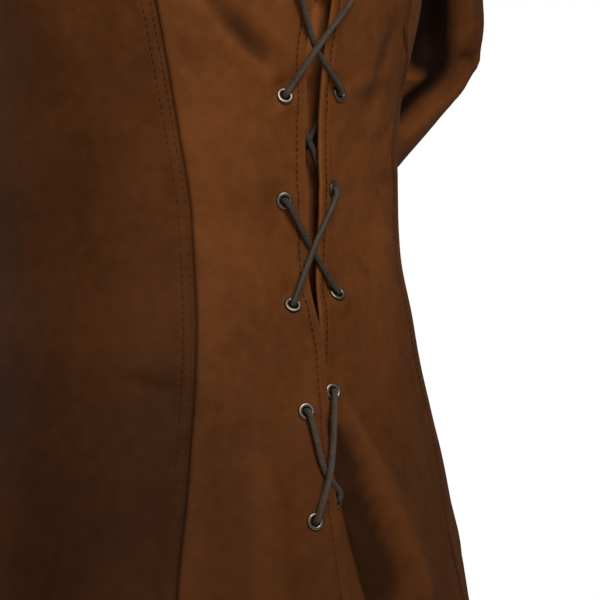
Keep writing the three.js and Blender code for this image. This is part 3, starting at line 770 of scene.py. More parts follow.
def make_grain():
    """Height of a hide's grain: small cells, broken up by fine wrinkles."""
    tree, start, end = new_group("hide_grain", {"Cells": 900.0, "Wrinkles": 0.5}, "Height")
    vector = start.outputs["Vector"]
    warp = add_node(tree, "ShaderNodeTexNoise", {"Vector": vector, "Scale": 160, "Detail": 3})
    push = {0: warp.outputs["Color"], 1: (0.0012, 0.0012, 0.0012), 2: vector}
    pushed = add_node(tree, "ShaderNodeVectorMath", push, operation="MULTIPLY_ADD").outputs[0]
    spread = {"Vector": pushed, "Scale": start.outputs["Cells"]}
    cells = add_node(tree, "ShaderNodeTexVoronoi", spread, feature="SMOOTH_F1").outputs["Distance"]
    fine = {"Vector": vector, "Scale": 420, "Detail": 5, "Roughness": 0.6}
    wrinkle = add_node(tree, "ShaderNodeTexNoise", fine).outputs["Fac"]
    wrinkle = math_node(tree, "MULTIPLY", wrinkle, start.outputs["Wrinkles"])
    feed(tree, end, {"Height": math_node(tree, "SUBTRACT", wrinkle, cells)})
    return tree


def make_wander():
    """A mask from 0 to 1 that wanders over the hide in large soft patches with small flecks."""
    tree, start, end = new_group("hide_wander", {"Patch": 15.0, "Fleck": 130.0}, "Fac")
    parts = []
    for label, detail, share in (("Patch", 3.0, 0.58), ("Fleck", 5.0, 0.42)):
        inputs = {"Vector": start.outputs["Vector"], "Scale": start.outputs[label]}
        inputs.update({"Detail": detail, "Roughness": 0.55})
        noise = add_node(tree, "ShaderNodeTexNoise", inputs).outputs["Fac"]
        parts.append(math_node(tree, "MULTIPLY", noise, share))
    feed(tree, end, {"Fac": math_node(tree, "ADD", *parts)})
    return tree


GRAIN, WANDER = make_grain(), make_wander()
print("groups:", GRAIN.name, WANDER.name)


# %% Materials from the groups
def srgb(colour):
    def linear(v):
        v = v / 255
        return v / 12.92 if v <= 0.04045 else ((v + 0.055) / 1.055) ** 2.4

    return (*map(linear, colour), 1.0)


def mixed(tree, fac, first, second, blend="MIX"):
    inputs = {"Factor": fac, "A": first, "B": second}
    return add_node(tree, "ShaderNodeMix", inputs, data_type="RGBA", blend_type=blend).outputs["Result"]


def attribute(tree, name):
    return add_node(tree, "ShaderNodeAttribute", attribute_name=name).outputs["Fac"]


def surface(name, colours, roughness, bump, grain, sheen=0.0, metal=0.0, specular=0.5):
    """A material from the shared groups, with the two colours that it wanders between, the rubbed one, which
    is wear and a painted highlight, and the deep one, which is painted shade. Its grain is the size of the
    cells and the share of wrinkles.

    The points of a mesh say where it is rubbed and painted lighter, where painted shade lies deep, and how
    light it is, which is partly its skin's tone and partly painted shade."""
    dark, light, rubbed_and_highlight, deep = map(srgb, colours)
    material = bpy.data.materials.new(name)
    material.use_nodes = True
    tree = material.node_tree
    vector = add_node(tree, "ShaderNodeTexCoord").outputs["Object"]
    wander = add_node(tree, "ShaderNodeGroup", {"Vector": vector}, node_tree=WANDER).outputs["Fac"]
    spread = {"Value": wander, "From Min": 0.34, "From Max": 0.66}
    colour = mixed(tree, add_node(tree, "ShaderNodeMapRange", spread).outputs["Result"], dark, light)
    # The rubbed colour is wear and a painted highlight, the deep colour is painted shade, and the tone
    # multiplies in painted shade as well as the skin's own tone.
    for mask, share, over in (("wear_and_highlight", 0.75, rubbed_and_highlight), ("deep", 0.7, deep)):
        colour = mixed(tree, math_node(tree, "MULTIPLY", attribute(tree, mask), share), colour, over)
    tone_and_shade = attribute(tree, "tone_and_shade")
    tone_and_shade_grey = add_node(tree, "ShaderNodeCombineColor", {"Red": tone_and_shade, "Green": tone_and_shade, "Blue": tone_and_shade})
    colour = mixed(tree, 1.0, colour, tone_and_shade_grey.outputs["Color"], blend="MULTIPLY")
    ends = {"Value": wander, "To Min": roughness[1], "To Max": roughness[0]}
    rough = add_node(tree, "ShaderNodeMapRange", ends).outputs["Result"]
    hide = {"Vector": vector, "Cells": grain[0], "Wrinkles": grain[1]}
    height = add_node(tree, "ShaderNodeGroup", hide, node_tree=GRAIN).outputs["Height"]
    relief = {"Strength": bump[0], "Distance": bump[1], "Height": height}
    normal = add_node(tree, "ShaderNodeBump", relief).outputs["Normal"]
    look = {"Base Color": colour, "Roughness": rough, "Normal": normal, "Metallic": metal}
    look.update({"Specular IOR Level": specular, "Sheen Weight": sheen, "Sheen Roughness": 0.6})
    feed(tree, tree.nodes["Principled BSDF"], look)
    return material


# Each material's colours: two that it wanders between, a rubbed one that is wear and a painted highlight, and
# a deep one that is painted shade.
LEATHER = surface(
    "leather",
    [(82, 45, 18), (105, 59, 25), (128, 76, 37), (22, 9, 3)],
    roughness=(0.66, 0.8),
    bump=(0.28, 0.0003),
    grain=(820.0, 0.9),
    specular=0.06,
)
SUEDE = surface(
    "suede",
    [(106, 57, 25), (142, 81, 37), (150, 90, 44), (62, 31, 13)],
    roughness=(0.92, 1.0),
    bump=(0.7, 0.0005),
    grain=(2400.0, 2.0),
    sheen=0.03,
    specular=0.05,
)
LACE = surface(
    "lace",
    [(34, 26, 20), (58, 46, 36), (84, 71, 58), (18, 13, 9)],
    roughness=(0.6, 0.8),
    bump=(0.9, 0.0005),
    grain=(1100.0, 2.0),
    specular=0.25,
)
NICKEL = surface(
    "nickel",
    [(50, 44, 38), (84, 76, 67), (116, 108, 97), (26, 21, 17)],
    roughness=(0.30, 0.5),
    bump=(0.25, 0.0002),
    grain=(700.0, 1.6),
    metal=1.0,
)
THREAD = surface(
    "thread",
    [(34, 17, 8), (62, 35, 17), (88, 56, 33), (20, 9, 4)],
    roughness=(0.55, 0.8),
    bump=(0.6, 0.0002),
    grain=(3000.0, 1.0),
    specular=0.02,
)
print("materials:", [m.name for m in (LEATHER, SUEDE, LACE, NICKEL, THREAD)])

# %% [markdown]
# ## Stitches
# A stitch is a short round bar of thread that dips at both ends. One tree of geometry nodes sets it at every
# point of a row, turned along the row, and makes the copies real. The rows carry the direction of the seam
# and of the cloth at each point.


# %% Tree for a row of stitches
STITCH_LENGTH, STITCH_WIDTH, THREAD_LIFT = 3.0, 0.75, 0.12
READ_STEP = 0.8  # how far before and after a stitch the direction of its row is read


def make_stitch_tree():
    tree = bpy.data.node_groups.new("stitch_row", "GeometryNodeTree")
    for label, kind in (("Geometry", "Geometry"), ("Length", "Float"), ("Width", "Float"), ("Material",) * 2):
        tree.interface.new_socket(label, in_out="INPUT", socket_type="NodeSocket" + kind)
    tree.interface.new_socket("Geometry", in_out="OUTPUT", socket_type="NodeSocketGeometry")
    given = add_node(tree, "NodeGroupInput").outputs
    bar = add_node(tree, "GeometryNodeMeshUVSphere", {"Segments": 8, "Rings": 5, "Radius": 0.5})
    size = {"X": given["Width"], "Y": given["Width"], "Z": given["Length"]}
    axes = {}
    for axis, label in (("Primary Axis", "along"), ("Secondary Axis", "out")):
        read = {"Name": label}
        read = add_node(tree, "GeometryNodeInputNamedAttribute", read, data_type="FLOAT_VECTOR")
        axes[axis] = read.outputs["Attribute"]
    turns = add_node(tree, "FunctionNodeAxesToRotation", axes, primary_axis="Z", secondary_axis="X")
    copies = {
        "Points": given["Geometry"],
        "Instance": bar.outputs["Mesh"],
        "Rotation": turns.outputs["Rotation"],
        "Scale": add_node(tree, "ShaderNodeCombineXYZ", size).outputs["Vector"],
    }
    shape = add_node(tree, "GeometryNodeInstanceOnPoints", copies).outputs["Instances"]
    for kind in ("GeometryNodeRealizeInstances", "GeometryNodeSetShadeSmooth"):
        shape = add_node(tree, kind, {"Geometry": shape}).outputs["Geometry"]
    for label, value in (("tone_and_shade", 1.0), ("wear_and_highlight", 0.0), ("deep", 0.0)):
        store = {"Geometry": shape, "Name": label, "Value": value}
        store = add_node(tree, "GeometryNodeStoreNamedAttribute", store, data_type="FLOAT", domain="POINT")
        shape = store.outputs["Geometry"]
    paint = {"Geometry": shape, "Material": given["Material"]}
    shape = add_node(tree, "GeometryNodeSetMaterial", paint).outputs["Geometry"]
    add_node(tree, "NodeGroupOutput", {"Geometry": shape})
    return tree


STITCH_TREE = make_stitch_tree()


def plain_mesh(obj, name):
    """The object's evaluated shape as a plain mesh in a new object. The old one is removed."""
    bpy.context.view_layer.update()
    evaluated = obj.evaluated_get(bpy.context.evaluated_depsgraph_get())
    mesh = bpy.data.meshes.new_from_object(evaluated)
    mesh.name = name
    bpy.data.objects.remove(obj)
    result = bpy.data.objects.new(name, mesh)
    bpy.context.collection.objects.link(result)
    return result


def read_along(at, run, values):
    """Values on a line with the distances run, read at other distances."""
    return np.stack([np.interp(at, run, values[:, i]) for i in range(3)], -1)


def stitches(name, rows):
    """Stitches on rows of (points, outward directions), a stitch every PITCH millimetres."""
    points, along, out = [], [], []
    for line, normal in rows:
        run = np.concatenate([[0], np.cumsum(np.linalg.norm(np.diff(line, axis=0), axis=1))])
        at = np.arange(PITCH / 2, run[-1], PITCH)
        points.append(read_along(at, run, line))
        along.append(unit(read_along(at + READ_STEP, run, line) - read_along(at - READ_STEP, run, line)))
        out.append(unit(read_along(at, run, normal)))
    points, along, out = (np.concatenate(x) for x in (points, along, out))
    obj = mesh_object(name + "_points", points, [])
    for label, values in (("along", along), ("out", out)):
        data = obj.data.attributes.new(label, "FLOAT_VECTOR", "POINT")
        data.data.foreach_set("vector", values.astype(np.float32).ravel())
    modifier = obj.modifiers.new("stitches", "NODES")
    modifier.node_group = STITCH_TREE
    given = {"Length": STITCH_LENGTH * MM, "Width": STITCH_WIDTH * MM, "Material": THREAD}
    for item in STITCH_TREE.interface.items_tree:
        if item.in_out == "INPUT" and item.name in given:
            modifier[item.identifier] = given[item.name]
    result = plain_mesh(obj, name)
    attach(result, "root")
    print(name, len(points), "stitches")
    return result


print("tree:", STITCH_TREE.name)

# %% [markdown]
# ## The body of the tunic
# The five panels are made from their tables, and a hole is punched for each eyelet with a boolean, because
# the lace has to pass through the leather. The rows of stitches are lines on the same surface, at a fixed
# distance from an edge.


# %% Rows of stitches on the panels
def thread_line(panel, angle, z):
    return on_panel(panel, angle, z, THREAD_LIFT), outwards(panel, angle, z)


def edge_row(panel, side, edge, distance, z):
    """A line of points at a distance in from an edge of a panel."""
    limit = PANELS[panel][edge](z)
    inwards = -1 if edge == "high" else 1
    angle = side * (limit + inwards * distance / mm_per_degree(limit, z))
    return thread_line(panel, angle, neck_z(angle, z))


def hem_row(panel, side):
    row = PANELS[panel]
    high = float(row["high"](HEM_TOP))
    low = float(row["low"](HEM_TOP)) if row["low"] else -high
    angle = side * np.linspace(low + 0.5, high - 0.5, 240)
    return thread_line(panel, angle, np.full_like(angle, HEM_TOP))


def spokes(out, count):
    """Directions all the way round an axis."""
    side = unit(np.cross(out, (0, 0, 1.0)))
    other = np.cross(out, side)
    turn = circle(count)[:, None]
    return np.cos(turn) * side + np.sin(turn) * other


HOLE = dict(radius=3.25, reach=6, sides=20)


def punch(obj, places):
    """Cuts the eyelet holes of (point, outward direction) through a panel."""
    verts, faces = [], []
    for point, out in places:
        ring, reach = HOLE["radius"] * spokes(out, HOLE["sides"]), out * HOLE["reach"]
        low = len(verts) * HOLE["sides"] + np.arange(HOLE["sides"])
        high = low + HOLE["sides"]
        verts += [point + ring - reach, point + ring + reach]
        faces += np.stack([low, np.roll(low, -1), np.roll(high, -1), high], -1).tolist()
        faces += [low[::-1].tolist(), high.tolist()]
    cutter = mesh_object("cutter", np.concatenate(verts), faces)
    modifier = obj.modifiers.new("punch", "BOOLEAN")
    modifier.operation, modifier.solver, modifier.object = "DIFFERENCE", "MANIFOLD", cutter
    result = plain_mesh(obj, obj.name)
    bpy.data.objects.remove(cutter)
    return result


def eyelet_places(column, side):
    """The middle of each eyelet of a column on the cloth, and the way it faces."""
    angle, z = side * EYELETS[column + "_angle"], EYELETS[column + "_z"]
    panel = "side_back" if column == "side" else "back"
    level = on_torso(angle, z, lap_lift(angle, z) if column == "side" else 0.0)
    return list(zip(level, outwards(panel, angle, z, step=1.2)))


# %% Make the panels
SIDES = ((1, "_left"), (-1, "_right"))
# The tops of the rows of stitches beside the kinds of edges.
ROW_TOPS = {
    "topstitched": ARMHOLE["z"] - ARMHOLE["half_height"] - 4,
    "slit": SLIT_TOP,
    "centre back": 0,
    "plain": 0,
}


def make_panel(panel, side, name):
    angle, z, grid, out = panel_grid(panel, side)
    obj = shell("leather_" + name, grid, out, WALL, attributes=panel_masks(panel, angle, z))
    if PANELS[panel]["eyelets"]:
        obj = punch(obj, eyelet_places(PANELS[panel]["eyelets"], side))
    obj.data.materials.clear()
    obj.data.materials.append(LEATHER)
    rows = [hem_row(panel, side)]
    ends = [(-1, "high"), (1, "high")] if panel == "front" else [(side, "low"), (side, "high")]
    for s, edge in ends:
        kind = PANELS[panel][edge + "_kind"]
        heights = spaced(HEM_Z + 1, ROW_TOPS[kind], 1.5)
        rows += [edge_row(panel, s, edge, at, heights) for at in SEAMS[kind]["rows"]]
    thread = stitches("stitches_" + name, rows)
    declare_sheet(obj, name, grid)
    return obj


make_panel("front", 1, "front")
make_panel("side_back", 1, "side_back_left")
make_panel("side_back", -1, "side_back_right")
make_panel("back", 1, "back_left")
make_panel("back_right", -1, "back_right")

# %% [markdown]
# ## Suede strips behind the slits
# A soft strip is sewn behind each slit, so that nothing shows between the laces. It stands back from the
# panels in the middle and sags a little between them.

# %% Underlay
UNDERLAY = dict(top=-248.0, bottom=-516.0, half=13.5, deep_half=10.6)
UNDERLAY.update(depth=10.9, edge_gap=1.2, wall=1.2, sag=0.35)


def underlay(side, suffix):
    z = spaced(UNDERLAY["bottom"], UNDERLAY["top"], 3.0)[:, None]
    share = np.linspace(-1, 1, 45)[None]
    angle = side * (side_back_edge(z) + back_edge(z)) / 2 + share * UNDERLAY["half"]
    deep = 1 - smooth(UNDERLAY["deep_half"], 0.93 * UNDERLAY["half"], np.abs(share) * UNDERLAY["half"])
    depth = (WALL + UNDERLAY["edge_gap"]) * (1 - deep) + UNDERLAY["depth"] * deep
    sag = UNDERLAY["sag"] * deep * np.sin(z / 13.0 + 2 * side * share) * np.sin(z / 31.0)
    base = on_torso(angle, z, sag - depth)
    # Painted shade along both sides of the strip, under the panels' edges, and a little of the rubbed colour
    # all over.
    masks = dict(wear_and_highlight=0.15 + 0 * angle, deep=0.5 * (1 - deep) + 0 * angle)
    wall, out = UNDERLAY["wall"], torso_out(angle, z)
    obj = shell("suede_strip" + suffix, base, out, wall, attributes=masks, bulge=0.3)
    obj.data.materials.append(SUEDE)
    declare_sheet(obj, "underlay" + suffix, base)


for side, suffix in SIDES:
    underlay(side, suffix)

# %% [markdown]
# ## Eyelets
# An eyelet is a rolled ring of aged nickel on the outside, a barrel through the leather and a spread collar
# inside. One round profile is turned at all twenty-four places.

# %% Eyelet rings
BORE, BARREL, FLANGE = 2.35, 2.9, 4.75
RING_SIDES = 40


def eyelet_profile():
    """Radius and height of the profile, from the collar inside, up the bore and over the rolled ring."""
    turn = np.radians(np.linspace(200, -38, 15))
    centre, low, tall = (BORE + FLANGE) / 2, 0.42, 0.75
    roll = np.stack([centre + (FLANGE - BORE) / 2 * np.cos(turn), low + tall * np.sin(turn)], -1)
    inside = [(3.9, -2.55), (3.7, -2.75), (2.9, -2.75), (BORE, -2.3), (BORE, -1.0)]
    back = [(FLANGE - 0.35, -0.05), (BARREL + 0.1, 0.0), (BARREL, -2.1), (3.4, -2.35)]
    return np.concatenate([inside, roll, back])


def ring_faces(low, high):
    """The faces between rings of points and the next ones."""
    return np.stack([low, np.roll(low, -1, 1), np.roll(high, -1, 1), high], -1).reshape(-1, 4)


def turned_ring(point, out, profile):
    verts = point + profile[:, None, :1] * spokes(out, RING_SIDES)[None] + profile[:, None, 1:] * out
    rings = np.arange(len(profile) * RING_SIDES).reshape(len(profile), RING_SIDES)
    return verts.reshape(-1, 3), ring_faces(rings, np.roll(rings, -1, 0))


def recalculated(obj):
    """Faces turned outwards after a shape was made by turning or mirroring."""
    import bmesh

    shape = bmesh.new()
    shape.from_mesh(obj.data)
    bmesh.ops.recalc_face_normals(shape, faces=shape.faces)
    shape.to_mesh(obj.data)
    shape.free()


def eyelets(side, suffix):
    profile = eyelet_profile()
    verts, faces, names = [], [], []
    for column in ("side", "back"):
        for i, (point, out) in enumerate(eyelet_places(column, side)):
            v, f = turned_ring(point, out, profile)
            faces.append(f + len(v) * len(verts))
            verts.append(v)
            names.append(f"eyelet{suffix}_{column}_{i + 1}")
    high = np.tile(np.repeat(profile[:, 1], RING_SIDES), len(names))
    # Wear and a painted highlight on the top of the rolled ring, painted shade in the bore, the barrel and
    # the collar.
    masks = dict(wear_and_highlight=smooth(0.75, 1.15, high), deep=1 - smooth(-1.4, 0.3, high))
    obj = mesh_object("eyelets" + suffix, np.concatenate(verts), np.concatenate(faces).tolist(), masks)
    recalculated(obj)
    declare(obj, names, NICKEL)
    print(obj.name, len(names), "rings")


for side, suffix in SIDES:
    eyelets(side, suffix)

# %% [markdown]
# ## Laces
# One round leather lace runs up and down each slit. It leaves the cloth through the eyelets of the side
# column and goes in through those of the back column, so that it crosses outside and inside in turn. Its
# route is the solid's, made smooth.

# %% Lace route
LACE_RADIUS, GAP = 1.8, 0.3
LACE_OVER = LACE_RADIUS + GAP
CREST, BACK_REACH = 1.3, 2.7
TURN = dict(shift=3.1, rise=1.3, clear=0.35)
TAIL, OVER_LAP = 14.0, 1.05
CROSSINGS = [(137.2, -338), (142, -392), (138.4, -444), (140, -498), (134.7, -562)]
STOPS = [stop for level in (5, 3, 1) for stop in (("side", level), ("back", level - 1))]
STOPS += [stop for level in (0, 2, 4) for stop in (("side", level), ("back", level + 1))]


def through_eyelet(place, before, after, goes_out):
    point, out = place

    def at(height, shift, towards):
        along = towards - point
        along = unit(along - out * (along @ out))
        return point + out * height + along * shift

    top, bottom = CREST + TURN["clear"], -BACK_REACH - TURN["clear"]
    first, second = (bottom, top) if goes_out else (top, bottom)
    return [
        at(first + np.sign(first) * TURN["rise"], TURN["shift"], before),
        at(first, 0, before),
        at(second, 0, after),
        at(second + np.sign(second) * TURN["rise"], TURN["shift"], after),
    ]


def lace_run(first, second, outside, first_half, crossing):
    thickness = 2 * LACE_RADIUS + GAP
    run = LACE_OVER if outside else -WALL - LACE_OVER - GAP
    if crossing is None:
        return (first[0] + second[0]) / 2 + unit(first[1] + second[1]) * (run - 1)
    angle, z = crossing
    lap = OVER_LAP * lap_lift(np.array(angle), np.array(float(z)))
    lift = LACE_OVER + lap + thickness * first_half if outside else run - thickness * (not first_half)
    return on_torso(angle, float(z), lift)


def lace_points(places):
    """The route through the places of both columns, on the left side."""
    route = [places[column][level] for column, level in STOPS]
    below = [place[0] - np.array([0, 0, TAIL]) for place in route]
    points = []
    for i, place in enumerate(route):
        before = route[i - 1][0] if i else below[0]
        after = route[i + 1][0] if i + 1 < len(route) else below[-1]
        goes_out = STOPS[i][0] == "side"
        points += through_eyelet(place, before, after, goes_out)
        if i + 1 < len(route):
            levels = (STOPS[i][1], STOPS[i + 1][1])
            crossing = None if levels[0] == levels[1] else CROSSINGS[min(levels)]
            points.append(lace_run(place, route[i + 1], goes_out, i < len(route) / 2, crossing))
    drop = -BACK_REACH - 2 * TURN["rise"]
    ends = [below[i] + route[i][1] * drop for i in (0, -1)]
    return np.array([ends[0], *points, ends[1]])


def between(t, start, end, first, last):
    return ((end - t) * first + (t - start) * last) / (end - start)


def rounded(points, per_span=8):
    """A curve through the points that bends evenly."""
    p = np.concatenate([[2 * points[0] - points[1]], points, [2 * points[-1] - points[-2]]])
    gaps = np.maximum(np.linalg.norm(np.diff(p, axis=0), axis=1) ** 0.5, 1e-6)
    knots = np.concatenate([[0], np.cumsum(gaps)])
    line = []
    for i in range(1, len(p) - 2):
        t0, t1, t2, t3 = knots[i - 1 : i + 3]
        count = max(3, int(per_span * np.linalg.norm(p[i + 1] - p[i]) / 10))
        t = np.linspace(t1, t2, count, endpoint=False)[:, None]
        parts = [between(t, knots[j], knots[j + 1], p[j], p[j + 1]) for j in (i - 1, i, i + 1)]
        first, second = between(t, t0, t2, *parts[:2]), between(t, t1, t3, *parts[1:])
        line.append(between(t, t1, t2, first, second))
    return np.concatenate([*line, points[-1:]])


def tube(name, line, radius, sides=14):
    """A cord along a line. It is a little squarer than round, as a cut strip of leather is."""
    tangent = unit(np.gradient(line, axis=0))
    side = unit(np.cross(tangent[0], (0.3, 0.2, 1.0)))
    turn = circle(sides)
    verts, run = [], 0.0
    for i, (p, t) in enumerate(zip(line, tangent)):
        side = unit(side - t * (side @ t))
        spoke = np.cos(turn)[:, None] * side + np.sin(turn)[:, None] * np.cross(t, side)
        run += float(np.linalg.norm(p - line[i - 1])) if i else 0.0
        square = 1 + 0.05 * np.cos(4 * turn + run / 22) + 0.02 * np.sin(run / 3.7 + 2 * turn)
        verts.append(p + radius * 0.97 * square[:, None] * spoke)
    rings = np.arange(len(line) * sides).reshape(len(line), sides)
    faces = ring_faces(rings[:-1], rings[1:]).tolist() + [rings[0][::-1].tolist(), rings[-1].tolist()]
    # Wear and a painted highlight on the four corners of the cord.
    rubbed_and_highlight = np.tile(0.25 + 0.25 * np.cos(4 * turn), len(line))
    return mesh_object(name, np.concatenate(verts), faces, dict(wear_and_highlight=rubbed_and_highlight, deep=0 * rubbed_and_highlight))


left_places = {column: eyelet_places(column, 1) for column in ("side", "back")}
lace_line = rounded(lace_points(left_places))
length = float(np.linalg.norm(np.diff(lace_line, axis=0), axis=1).sum())
for side, suffix in SIDES:
    line = lace_line * np.array([side, 1, 1])
    lace = tube("lace_cord" + suffix, line, LACE_RADIUS)
    recalculated(lace)
    declare(lace, ["lace" + suffix], LACE)
print("lace length:", round(length), "mm each")

# %% [markdown]
# ## Sleeves
# A sleeve is a tube through a table of rings. The right hand rests on the hip, so its sleeve bends back at
# the elbow and comes forward again, and the leather bunches inside the bend. The left one is held forward.

# %% Sleeve tables
SLEEVE_COLUMNS = ("ox", "oy", "oz", "ix", "iy", "iz", "half")
HAND_ON_HIP = row_table(
    SLEEVE_COLUMNS,
    (206, 8, -60, 201, 6, -212, 58),
    (243, 40, -98, 213, 18, -224, 54),
    (289, 91, -196, 223, 25, -254, 55),
    (318, 114, -258, 255, 51, -306, 51),
    (337, 114, -296, 263, 48, -318, 50),
    (345, 107, -334, 268, 43, -326, 50),
    (338, 86, -372, 267, 30, -333, 49),
    (318, 61, -408, 260, 19, -348, 47),
    (304, 47, -426, 248, 7, -367, 46),
    (289, 31, -444, 235, -7, -386, 44),
    (273, 15, -463, 221, -22, -407, 43),
    (257, -2, -482, 207, -38, -428, 41),
)
HELD_FORWARD = row_table(
    SLEEVE_COLUMNS,
    (206, -4, -60, 201, -5, -212, 58),
    (240, -52, -106, 210, -50, -230, 53),
    (264, -98, -178, 198, -62, -252, 55),
    (262, -156, -238, 191, -112, -304, 51),
    (247, -194, -262, 191, -147, -338, 49),
    (217, -236, -275, 181, -197, -356, 47),
    (188, -287, -291, 156, -253, -367, 44),
    (157, -341, -305, 127, -309, -377, 41),
)
SLEEVE_TURNS = 120
# Where along the sleeve and how far round it each crease starts and ends, from the outer side at 0, then its
# width and depth.
HIP_CREASES = [
    (40, 20, 95, 62, 9, -3.0),
    (62, 8, 120, 40, 11, 2.6),
    (95, 96, 150, 150, 9, -2.6),
    (118, 60, 168, 128, 8, 2.4),
    (150, 150, 190, 205, 8, -3.2),
    (186, 180, 206, 140, 7, 2.2),
    (168, 113, 275, 110, 13, -15.0),  # the deep hollow where the elbow bends
    (190, 82, 258, 78, 6, 2.2),
    (286, 142, 287, 108, 6, 2.6),  # its lip
    (258, 94, 332, 89, 8.5, -6.5),  # a fold that runs on down the forearm
    (266, 66, 330, 73, 5, 2.4),
    (267, 56, 262, 84, 3.2, -3.2),
    (232, 36, 252, 50, 11, -2.2),
    (270, 34, 271, 60, 4, 1.8),
    (272, 74, 340, 62, 9, 2.6),
    (204, 200, 214, 150, 6, -3.0),
    (236, 210, 246, 160, 7, -2.2),
    (300, 30, 350, 20, 12, -1.8),
    (280, -40, 350, -70, 12, 1.8),
    (130, -60, 190, -110, 10, -2.4),
    (190, -90, 214, -160, 8, -2.6),
    (356, 120, 420, 150, 11, -1.8),
    (372, 40, 430, 20, 11, 1.6),
]
FORWARD_CREASES = [
    (42, 10, 100, 50, 10, -2.6),
    (60, -20, 116, -60, 11, 2.4),
    (100, 90, 150, 150, 9, -2.4),
    (140, 170, 160, 110, 8, -2.8),
    (165, 190, 178, 120, 7, 2.4),
    (182, 200, 192, 110, 7, -2.6),
    (150, -100, 176, -160, 8, -2.2),
    (214, 30, 290, 70, 11, -1.6),
    (230, -60, 300, -80, 11, 1.6),
]


def armhole_ring(shift, inward=0.15):
    turn = circle(SLEEVE_TURNS)
    angle = ARMHOLE["angle"] + ARMHOLE["half_angle"] * np.sin(turn)
    z = ARMHOLE["z"] + ARMHOLE["half_height"] * np.cos(turn)
    point = on_torso(angle, z)
    towards = unit(np.stack([0 * z, -point[:, 1], ARMHOLE["z"] - z], -1))
    rim = WALL * np.maximum(0, -(torso_out(angle, z) * towards).sum(-1))
    point = point + towards * (inward + rim)[:, None]
    point[:, 0] += shift
    return point


def sleeve_rings(table):
    outer = np.stack([table["ox"], table["oy"], table["oz"]], -1)
    inner = np.stack([table["ix"], table["iy"], table["iz"]], -1)
    middle = (outer + inner) / 2
    shoulder = on_torso(ARMHOLE["angle"], ARMHOLE["z"])
    turn = circle(SLEEVE_TURNS)
    rings = []
    for i in range(len(middle)):
        before = middle[i - 1] if i else shoulder
        after = middle[i + 1] if 0 < i < len(middle) - 1 else middle[i]
        side = (outer[i] - inner[i]) / 2
        breadth = unit(np.cross(side, unit(after - before))) * table["half"][i]
        rings.append(middle[i] + np.cos(turn)[:, None] * side + np.sin(turn)[:, None] * breadth)
    return rings


def smooth_rings(rings, step=3.0):
    """Rings at an even step along a tube, on monotone curves through the given ones."""
    rings = np.array(rings)
    middle = rings.mean(1)
    run = np.concatenate([[0], np.cumsum(np.maximum(np.linalg.norm(np.diff(middle, axis=0), axis=1), 4))])
    at = spaced(0, run[-1], step)
    flat = rings.reshape(len(rings), -1)
    return np.stack([track(run, values)(at) for values in flat.T], -1).reshape(len(at), -1, 3), at


# What a degree round the sleeve measures for its creases and beside its seam, the place of the seam, and how
# far from the cuff the row of stitches runs.
SLEEVE_DEGREE, SEAM_DEGREE, SLEEVE_SEAM, CUFF_ROW = 48.0 * np.pi / 180, 0.8, 180, 16


def crease_height(rows, along, turn):
    total = np.zeros(np.broadcast(along, turn).shape)
    for l0, t0, l1, t1, width, depth in rows:
        line = (t1 - t0) * SLEEVE_DEGREE, l1 - l0
        place = wrapped(turn - t0) * SLEEVE_DEGREE, along - l0
        total += depth * crease(line, place, width)
    return total


def grid_normals(grid, closed):
    if closed:
        round_ = np.roll(grid, -1, 1) - np.roll(grid, 1, 1)
    else:
        round_ = np.gradient(grid, axis=1)
    return unit(np.cross(round_, np.gradient(grid, axis=0)))


def sleeve(side, suffix, table, creases):
    rings, at = smooth_rings([armhole_ring(-1.6), armhole_ring(4), *sleeve_rings(table)])
    grid, along = rings[::-1] * np.array([side, 1, 1]), at[::-1, None]
    turn = np.degrees(circle(SLEEVE_TURNS))[None]
    if side < 0:
        grid, turn = grid[:, ::-1], turn[:, ::-1]
    height = crease_height(creases, along, turn) * smooth(10, 40, along)
    cuff_row = float(at[-1]) - CUFF_ROW
    cuff = 0.5 * smooth(cuff_row - 3, cuff_row, along) + bump_row(along, cuff_row, 1.1, -0.5)
    from_seam = wrapped(turn - SLEEVE_SEAM) * SEAM_DEGREE
    seam = bump_row(from_seam, 0, 1.2, -0.9) + bump_row(from_seam, 0, 6, 0.35)
    sway = np.radians(turn)
    wave = 0.2 * np.sin(along / 23.0 + sway * 2) * np.sin(along / 11.0 - sway * 3)
    relief = height + (cuff + seam + wave) * smooth(4, 14, along)
    grid = grid + grid_normals(grid, True) * relief[..., None]
    out = grid_normals(grid, True)
    # Wear and a painted highlight on the tops of the creases, painted shade in their hollows, near black in
    # the deep hollow of the elbow, and painted shade that darkens the whole sleeve.
    masks = dict(
        wear_and_highlight=0.3 * smooth(0.5, 2.4, height),
        deep=0.55 * smooth(0.4, 3.0, -height) + 0.9 * smooth(2.5, 6.0, -height),
        tone_and_shade=np.full_like(height, SLEEVE_SHADE),
    )
    obj = shell("leather_sleeve" + suffix, grid, out, WALL, closed=True, attributes=masks)
    obj.data.materials.append(LEATHER)
    row = int(np.argmin(np.abs(along[:, 0] - cuff_row)))
    around = np.arange(SLEEVE_TURNS + 1) % SLEEVE_TURNS
    line, normal = grid[row, around], out[row, around]
    thread = stitches("stitches_sleeve" + suffix, [(line + 0.1 * normal, normal)])
    declare_sheet(obj, "sleeve" + suffix, grid, closed=True)


sleeve(1, "_left", HELD_FORWARD, FORWARD_CREASES)
sleeve(-1, "_right", HAND_ON_HIP, HIP_CREASES)

# %% [markdown]
# ## Hood
# The hood is two pieces joined over the crown and down to the nape, and sewn into the neck. It stands up as
# if worn, with its front edge turned under and sewn.

